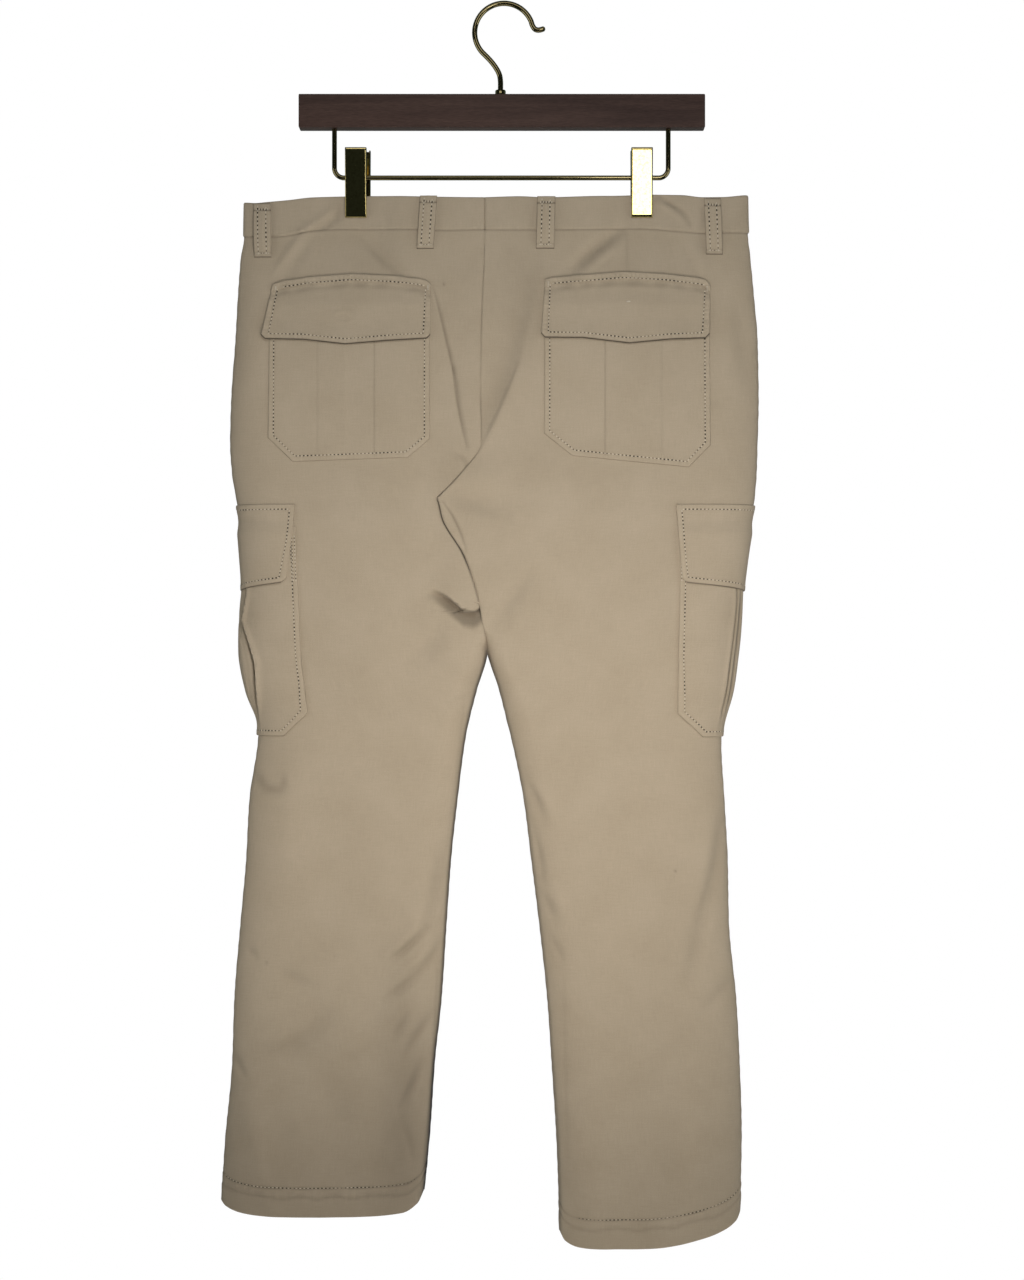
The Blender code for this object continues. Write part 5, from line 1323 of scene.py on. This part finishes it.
def onLeg(leg, face, x, z):
    # the panel's own surface near the hem, rounded off at both edges and following the hem's curve
    outX, inX = section(leg + "Out", z), section(leg + "In", z)
    fromOut = np.clip(np.abs(x - outX) / section("outerRound", z), 0, 1)
    fromIn = np.clip(np.abs(x - inX) / section("innerRound", z), 0, 1)
    deep = halfDepth(leg, face, x, z) * np.sqrt(1 - (1 - fromOut) ** 2) * np.sqrt(1 - (1 - fromIn) ** 2)
    return np.stack((x, sideOf(face) * (deep + 0.1), z + hemShift(leg, face, x, z)), -1)


def hemStitches(leg, face):
    # a row round the leg near the top of the turned-up hem
    z = hemFoot(leg) + cut["hemDeep"] - 2
    outX, inX = section(leg + "Out", z), section(leg + "In", z)

    def surface(u, v):
        step = 0.5
        here = onLeg(leg, face, u, v)
        normal = unit(np.cross(onLeg(leg, face, u + step, v) - here, onLeg(leg, face, u, v + step) - here))
        return here, normal * np.sign(normal[..., 1:2] * sideOf(face))

    path = [(outX + (inX - outX) * share, z) for share in np.linspace(0.015, 0.985, 40)]
    stitchRow("Hems", surface, path, lift=-0.1, wide=0.6, hole=0.9)


for leg, face in quarters:
    hemStitches(leg, face)
for store in ("BackLeft", "BackRight", "CargoLeft", "CargoRight", "Loops", "Front", "Hems"):
    sewStitches("stitching" + store, threadMaterial, store)
sewStitches("barTacks", paleThreadMaterial, "tacks")
print("stitched")


def turned(profile, centre, axis, sides):
    # a profile of (radius, height) turned round the y or z axis through the centre
    angle = np.linspace(0, 2 * math.pi, sides, endpoint=False)
    radius, height = np.array(profile, float).T
    a, b = radius[:, None] * np.cos(angle), radius[:, None] * np.sin(angle)
    h = height[:, None] + 0 * a
    return np.stack((a, h, b) if axis == "y" else (a, b, h), -1) + np.array(centre, float)


def closedTube(points, capped=True):
    # faces of rings joined one to the next, with a face across each end
    rows, columns = points.shape[:2]
    faces = gridFaces(rows, columns, True).tolist()
    if capped:
        faces.append(list(range(columns))[::-1])
        faces.append(list(range((rows - 1) * columns, rows * columns)))
    return points.reshape(-1, 3), faces


def pointedOut(flat, faces):
    # the faces, reversed if the closed shape they bound has a negative volume
    total = 0.0
    for face in faces:
        for second, third in zip(face[1:-1], face[2:]):
            total += np.dot(flat[face[0]], np.cross(flat[second], flat[third]))
    return faces if total > 0 else [list(face)[::-1] for face in faces]


def addHard(name, points, material, nodes=(), capped=True, sharp=35):
    flat, faces = closedTube(points, capped)
    return addPiece(name, flat, pointedOut(flat, faces), material, nodes=nodes, sharp=sharp)


def tube(path, radius, sides, side=None):
    # a circle carried along a path, square to it at every point; side is a direction square to the path,
    # and where none is given, the path lies in a plane and its side is the one across that plane
    path = np.array(path, float)
    if side is None:
        across = (0.0, 1.0, 0.0) if np.ptp(path[:, 1]) < 1e-6 else (1.0, 0.0, 0.0)
        side = np.broadcast_to(across, path.shape)
    up = np.cross(unit(np.gradient(path, axis=0)), side)
    angle = np.linspace(0, 2 * math.pi, sides, endpoint=False)
    ring = side[:, None] * np.cos(angle)[None, :, None] + up[:, None] * np.sin(angle)[None, :, None]
    return path[:, None] + ring * np.broadcast_to(radius, len(path))[:, None, None]


button = {
    "x": -34.0, "z": -196.0, "radius": 8.5, "thick": 3.0, "threadX": 1.5,
    # share of the radius, and how far below the rim's top
    "profile": ((0.0, 1.1), (0.5, 1.1), (0.6, 0.95), (0.68, 0.3), (0.76, 0.0), (0.88, 0.05), (0.96, 0.5),
                (1.0, 1.2), (0.98, 1.9), (0.85, 2.8), (0.7, 3.0), (0.0, 3.0)),
    # one thread, from below: height under the rim's top, and z
    "thread": ((1.4, -1.6), (0.5, -1.0), (0.4, 1.0), (1.4, 1.6)),
}


def waistButton():
    seat = float(faceDepth("left", "front", button["x"], button["z"])) + band["outer"] + 0.5
    rim = button["thick"]
    profile = [(button["radius"] * share, rim - below) for share, below in button["profile"]]
    addHard("waistButton", turned(profile, (button["x"], seat, button["z"]), "y", 48), buttonMaterial,
            ("waist_button",), capped=False)
    for name, dx in (("Left", -button["threadX"]), ("Right", button["threadX"])):
        path = [(button["x"] + dx, seat + rim - below, button["z"] + dz) for below, dz in button["thread"]]
        addHard("buttonThread" + name, tube(path, 0.45, 8), paleThreadMaterial)


def smoothPath(points, per=10):
    # a Catmull-Rom curve through the points
    points = np.array(points, float)
    padded = np.concatenate((2 * points[:1] - points[1:2], points, 2 * points[-1:] - points[-2:-1]))
    t = np.linspace(0, 1, per, endpoint=False)[:, None]
    parts = []
    for a, b, c, d in zip(padded, padded[1:], padded[2:], padded[3:]):
        bent = (2 * a - 5 * b + 4 * c - d) * t**2 + (3 * b - a - 3 * c + d) * t**3
        parts.append(0.5 * (2 * b + (c - a) * t + bent))
    return np.concatenate(parts + [points[-1:]])


def roundedEnds(path, radius):
    # radii along a wire, drawn in at both ends as a small dome
    run = np.concatenate(([0], np.cumsum(np.linalg.norm(np.diff(path, axis=0), axis=1))))
    away = np.minimum(run, run[-1] - run)
    return radius * np.sqrt(np.clip(1 - (1 - np.clip(away / (radius * 0.7), 0.12, 1)) ** 2, 0.05, 1))


hanger = {
    "hookCentre": (0.0, -25.0), "hookStart": 222.0, "hookEnd": 14.0, "stemX": -3.3, "wire": 5.0, "rod": 4.6,
    "neck": ((-3.3, -78.0), (-3.3, -71.0), (-4.3, -64.5), (-7.6, -58.0), (-13.0, -51.0)),
    "tip": ((29.2, -21.8), (33.0, -22.6), (38.5, -21.0)),
    # radius, and height above the collar's middle
    "collar": ((2.8, -2.5), (4.6, -2.5), (5.0, -2.2), (5.0, 1.6), (4.6, 2.2), (3.6, 2.5), (2.8, 2.5),
               (2.8, -2.5)),
    "collarHigh": 2.5, "rodX": (-159.0, 154.0), "rodZ": -161.3, "rodBend": 9.0, "rodDrop": 18.0, "gap": 0.3,
    "bar": {"x": (-192.0, 188.0), "y": (-8.0, 9.0), "z": (-115.3, -84.3), "edge": 0.8},
}


def arcPoints(centre, radius, start, end, steps):
    angle = np.radians(np.linspace(start, end, steps))
    return [(centre[0] + radius * math.cos(a), 0.0, centre[1] + radius * math.sin(a)) for a in angle]


def hangerHook():
    radius = -hanger["hookCentre"][1] + hanger["wire"] / 2
    foot = hanger["bar"]["z"][1] + hanger["gap"]
    neck, tip = ([(x, 0, z) for x, z in hanger[part]] for part in ("neck", "tip"))
    bend = arcPoints(hanger["hookCentre"], radius, hanger["hookStart"], hanger["hookEnd"], 26)
    path = smoothPath([(hanger["stemX"], 0, foot)] + neck + bend + tip, 5)
    addHard("hangerHook", tube(path, roundedEnds(path, hanger["wire"] / 2), 24), wireMaterial,
            ("hanger_hook",))
    middle = (hanger["stemX"], 0.0, foot + hanger["collarHigh"])
    addHard("hookCollar", turned(hanger["collar"], middle, "z", 32), wireMaterial,
            ("hook_collar",), capped=False)


def dropRod():
    top = hanger["bar"]["z"][0] - hanger["gap"]
    (left, right), bend, drop = hanger["rodX"], hanger["rodBend"], hanger["rodDrop"]
    foot = hanger["rodZ"] + bend
    route = [(left, 0, top), (left, 0, top - drop)] + arcPoints((left + bend, foot), bend, 180, 270, 9)
    route += [(x, 0, hanger["rodZ"]) for x in np.linspace(left + bend + 10, right - bend - 10, 14)]
    route += arcPoints((right - bend, foot), bend, 270, 360, 9) + [(right, 0, top - drop), (right, 0, top)]
    path = smoothPath(route, 3)
    addHard("dropRod", tube(path, hanger["rod"] / 2, 20), wireMaterial, ("drop_rod",))


def hangerBar():
    # a plank: its section, a rectangle with small rounded edges, carried from end to end
    bar = hanger["bar"]
    edge, (x0, x1), (y0, y1), (z0, z1) = bar["edge"], bar["x"], bar["y"], bar["z"]
    ring = []
    for cy, cz, start in ((y1 - edge, z1 - edge, 0), (y0 + edge, z1 - edge, 90),
                          (y0 + edge, z0 + edge, 180), (y1 - edge, z0 + edge, 270)):
        for a in np.radians(np.linspace(start, start + 90, 4)):
            ring.append((cy + edge * math.cos(a), cz + edge * math.sin(a)))
    ring = np.array(ring)
    centre = ring.mean(0)
    stations = [(x0, 1.0), (x0 + 0.2, 0.5), (x0 + edge, 0.0)]
    stations += [(x, 0.0) for x in np.linspace(x0 + 2, x1 - 2, 40)]
    stations += [(x1 - edge, 0.0), (x1 - 0.2, 0.5), (x1, 1.0)]
    rings = []
    for x, inset in stations:
        shrunk = ring - np.sign(ring - centre) * inset * edge * 0.9
        rings.append(np.concatenate((np.full((len(shrunk), 1), x), shrunk), 1))
    addHard("hangerBar", np.array(rings), woodMaterial, ("hanger_bar",), sharp=30)


clips = {
    "shift": {"left": 3.0, "right": 0.0},              # the front plate's middle beside the back plate's
    "wide": 20.0, "top": -134.8, "foot": -199.4, "sheet": 1.2, "jaw": 4.9, "grip": 11.0,
    "coil": {"turns": 6, "radius": 4.0, "wire": 0.9, "long": 10.8},
}


def plateDepth(share):
    closed = clips["jaw"] + clips["sheet"]
    return np.interp(share, (0, 0.72, 1), (clips["grip"], closed + 1.6, closed))


def clipJaw(name, middleX, side, node):
    # a pressed plate: a U-shaped section, its long edges bent back, carried down from grip to jaw
    share = np.concatenate(([0, 0.006], np.linspace(0.015, 0.985, 38), [0.994, 1]))
    plate = plateDepth(share) - 0.7 * (bell(share, 0.008) + bell(1 - share, 0.008))
    flange = np.clip(plate - hanger["rod"] / 2 - 0.7, 0, 6.0) * (1 - smoothStep(0.45, 0.72, share)) + 0.8
    half, t = clips["wide"] / 2, clips["sheet"]
    bend = [(1 - half - math.cos(a), 1 - math.sin(a)) for a in np.radians(np.linspace(0, 90, 5))]
    rings = []
    for z, deep, lip in zip(clips["top"] + (clips["foot"] - clips["top"]) * share, plate, flange):
        left = [(-half, lip), *bend, (1.3 - half, 0.0), (2.5 - half, 0.0)]
        back = [(half - t, max(lip, t + 0.6)), (half - t, t + 0.5), (half - t - 0.5, t)]
        right, backLeft = ([(-x, d) for x, d in edge[::-1]] for edge in (left, back))
        rings.append([(middleX + x, side * (deep - d), z) for x, d in left + right + back + backLeft])
    addHard(name, np.array(rings), plateMaterial, (node,), sharp=40)


def clipSpring(name, middleX, node):
    # a coil spring round the rod, its wire a tube along a helix
    coil = clips["coil"]
    angle = np.linspace(0, 2 * math.pi * coil["turns"], 24 * coil["turns"])
    out = np.stack((0 * angle, np.cos(angle), np.sin(angle)), -1)
    path = out * coil["radius"] + np.array((middleX - coil["long"] / 2, 0, hanger["rodZ"]))
    path[:, 0] += coil["long"] * angle / angle[-1]
    addHard(name, tube(path, coil["wire"], 8, out), wireMaterial, (node,))


waistButton()
hangerHook()
dropRod()
hangerBar()
for leg, middleX in cut["clips"].items():
    side, shifted = leg.capitalize(), middleX + clips["shift"][leg]
    clipJaw(f"clipPlate{side}Back", middleX, -1, f"clip_{leg}_front")
    clipJaw(f"clipPlate{side}Front", shifted, 1, f"clip_{leg}_back")
    clipSpring(f"clipSpring{side}", (middleX + shifted) / 2, f"clip_{leg}_spring")
print("hanger assembled")

studio = {
    "floorZ": -1450.0, "floorWide": 790.0, "floorSides": 96, "floorColour": "#E9E7E2",
    "fill": 0.063, "room": "#F4F1EA", "mirrored": "#CFE8E6", "mirroredFrom": 0.03, "mirroredTo": 0.33,
    # name, place, size, target, watts, tint, and what it shines on: "cloth" puts no streak on polished
    # metal, "metal" is seen in the metal alone
    "lights": (
        ("nearSoftbox", (0.062, -0.585, -0.68), (0.40, 0.40), (0.03, 0.0, -0.68), 2.36, "#FFF7EF", "cloth"),
        ("topSoftbox", (-0.01, -0.80, 0.045), (0.24, 0.20), (0.0, 0.0, -0.75), 1.4, "#F8FCFF", "cloth"),
        ("rightSoftbox", (1.5, -0.62, -0.66), (0.7, 1.3), (0.05, 0.0, -0.66), 6.5, "#FBFDFA", "all"),
        ("plateSoftbox", (0.19, -0.95, -0.11), (0.17, 0.26), (0.13, 0.0, -0.17), 0.85, "#FFFDFB", "all"),
        ("leftSoftbox", (-1.5, -0.62, -0.62), (0.7, 1.3), (-0.1, 0.0, -0.66), 5.5, "#FBFDFA", "all"),
        ("rearSoftbox", (0.6, 1.8, -0.3), (1.2, 1.4), (0.0, 0.0, -0.6), 22.0, "#FFFDFB", "cloth"),
        ("floorSoftbox", (0.0, 0.0, -1.22), (1.4, 1.4), (0.0, 0.001, -1.45), 3.2, "#FFFDFB", "cloth"),
        ("rodSoftbox", (0.0, -0.55, 0.25), (0.5, 0.2), (0.0, 0.0, -0.16), 0.5, "#FFFDFB", "metal"),
    ),
    "camera": (0.0075, -2.0, -0.5947), "tall": 1.2006, "film": 36.0, "farthest": 50.0,
}


def paleFloor():
    # Matt floor paint, scuffed here and there.
    sides = np.linspace(0, 2 * math.pi, studio["floorSides"], endpoint=False)
    radius = np.array((0.01, 0.5, 1.0)) * studio["floorWide"]
    x, y = radius[:, None] * np.cos(sides), radius[:, None] * np.sin(sides)
    flat, faces = closedTube(np.stack((x, y, 0 * x + studio["floorZ"]), -1), False)
    faces.append(list(range(studio["floorSides"]))[::-1])
    mesh = bpy.data.meshes.new("studioFloor")
    mesh.from_pydata((flat * mm).tolist(), [], faces)
    if mesh.polygons[0].normal.z < 0:
        mesh.flip_normals()
    material, tree = newMaterial("palePaintedFloor")
    place = addNode(tree, "TexCoord").outputs["Object"]
    scuff = addNode(tree, "TexNoise", {"Vector": place, "Scale": 3.0, "Detail": 4.0})
    rub = addNode(tree, "MapRange", {"Value": scuff, "To Min": 0.5, "To Max": 0.7})
    shader = addNode(tree, "BsdfPrincipled",
                     {"Base Color": hexColour(studio["floorColour"]), "Roughness": rub})
    addNode(tree, "OutputMaterial", {"Surface": shader})
    mesh.materials.append(material)
    floor = bpy.data.objects.new("studioFloor", mesh)
    bpy.context.scene.collection.objects.link(floor)


def softbox(name, place, size, target, watts, tint, shines):
    lamp = bpy.data.lights.new(name, "AREA")
    lamp.shape = "RECTANGLE"
    lamp.size, lamp.size_y = size
    lamp.energy = watts
    lamp.color = hexColour(tint)[:3]
    light = bpy.data.objects.new(name, lamp)
    light.location = place
    away = np.array(target, float) - np.array(place, float)
    level = math.hypot(away[0], away[1])
    light.rotation_euler = (math.atan2(level, -away[2]), 0, math.atan2(-away[0], away[1]))
    light.visible_camera = False
    light.visible_glossy = shines != "cloth"
    light.visible_diffuse = shines != "metal"
    bpy.context.scene.collection.objects.link(light)


def brightWorld():
    # white behind the object; a dim room elsewhere, nearly dark on the side that the camera stands on
    world = bpy.data.worlds.new("whiteStudio")
    world.use_nodes = True
    tree = world.node_tree
    tree.nodes.clear()
    path = addNode(tree, "LightPath")
    plain = addNode(tree, "Background", {"Color": (1, 1, 1, 1), "Strength": 1.0})
    place = addNode(tree, "TexCoord").outputs["Generated"]
    parts = addNode(tree, "SeparateXYZ", {"Vector": place})
    rise = addNode(tree, "MapRange", {"Value": parts.outputs["Z"], "From Min": -1.0, "From Max": 1.0,
                                      "To Min": 0.6, "To Max": 1.4})
    strength = addNode(tree, "Math", {0: rise, 1: studio["fill"]}, operation="MULTIPLY")
    dim = addNode(tree, "Background", {"Color": hexColour(studio["room"]), "Strength": strength})
    shine = addNode(tree, "MapRange", {"Value": parts.outputs["Y"], "From Min": -0.3, "From Max": 0.7,
                                       "To Min": studio["mirroredFrom"], "To Max": studio["mirroredTo"]})
    mirrored = addNode(tree, "Background", {"Color": hexColour(studio["mirrored"]), "Strength": shine})
    soft = addNode(tree, "MixShader", {0: path.outputs["Is Glossy Ray"], 1: dim, 2: mirrored})
    mix = addNode(tree, "MixShader", {0: path.outputs["Is Camera Ray"], 1: soft, 2: plain})
    addNode(tree, "OutputWorld", {"Surface": mix})
    bpy.context.scene.world = world


paleFloor()
brightWorld()
for row in studio["lights"]:
    softbox(*row)

lens = bpy.data.cameras.new("camera")
lens.sensor_width = studio["film"]
lens.lens = studio["film"] * -studio["camera"][1] / studio["tall"]
lens.clip_end = studio["farthest"]
camera = bpy.data.objects.new("camera", lens)
camera.location = studio["camera"]
camera.rotation_euler = (math.pi / 2, 0, 0)
bpy.context.scene.collection.objects.link(camera)
bpy.context.scene.camera = camera
bpy.context.scene.view_settings.view_transform = "Standard"
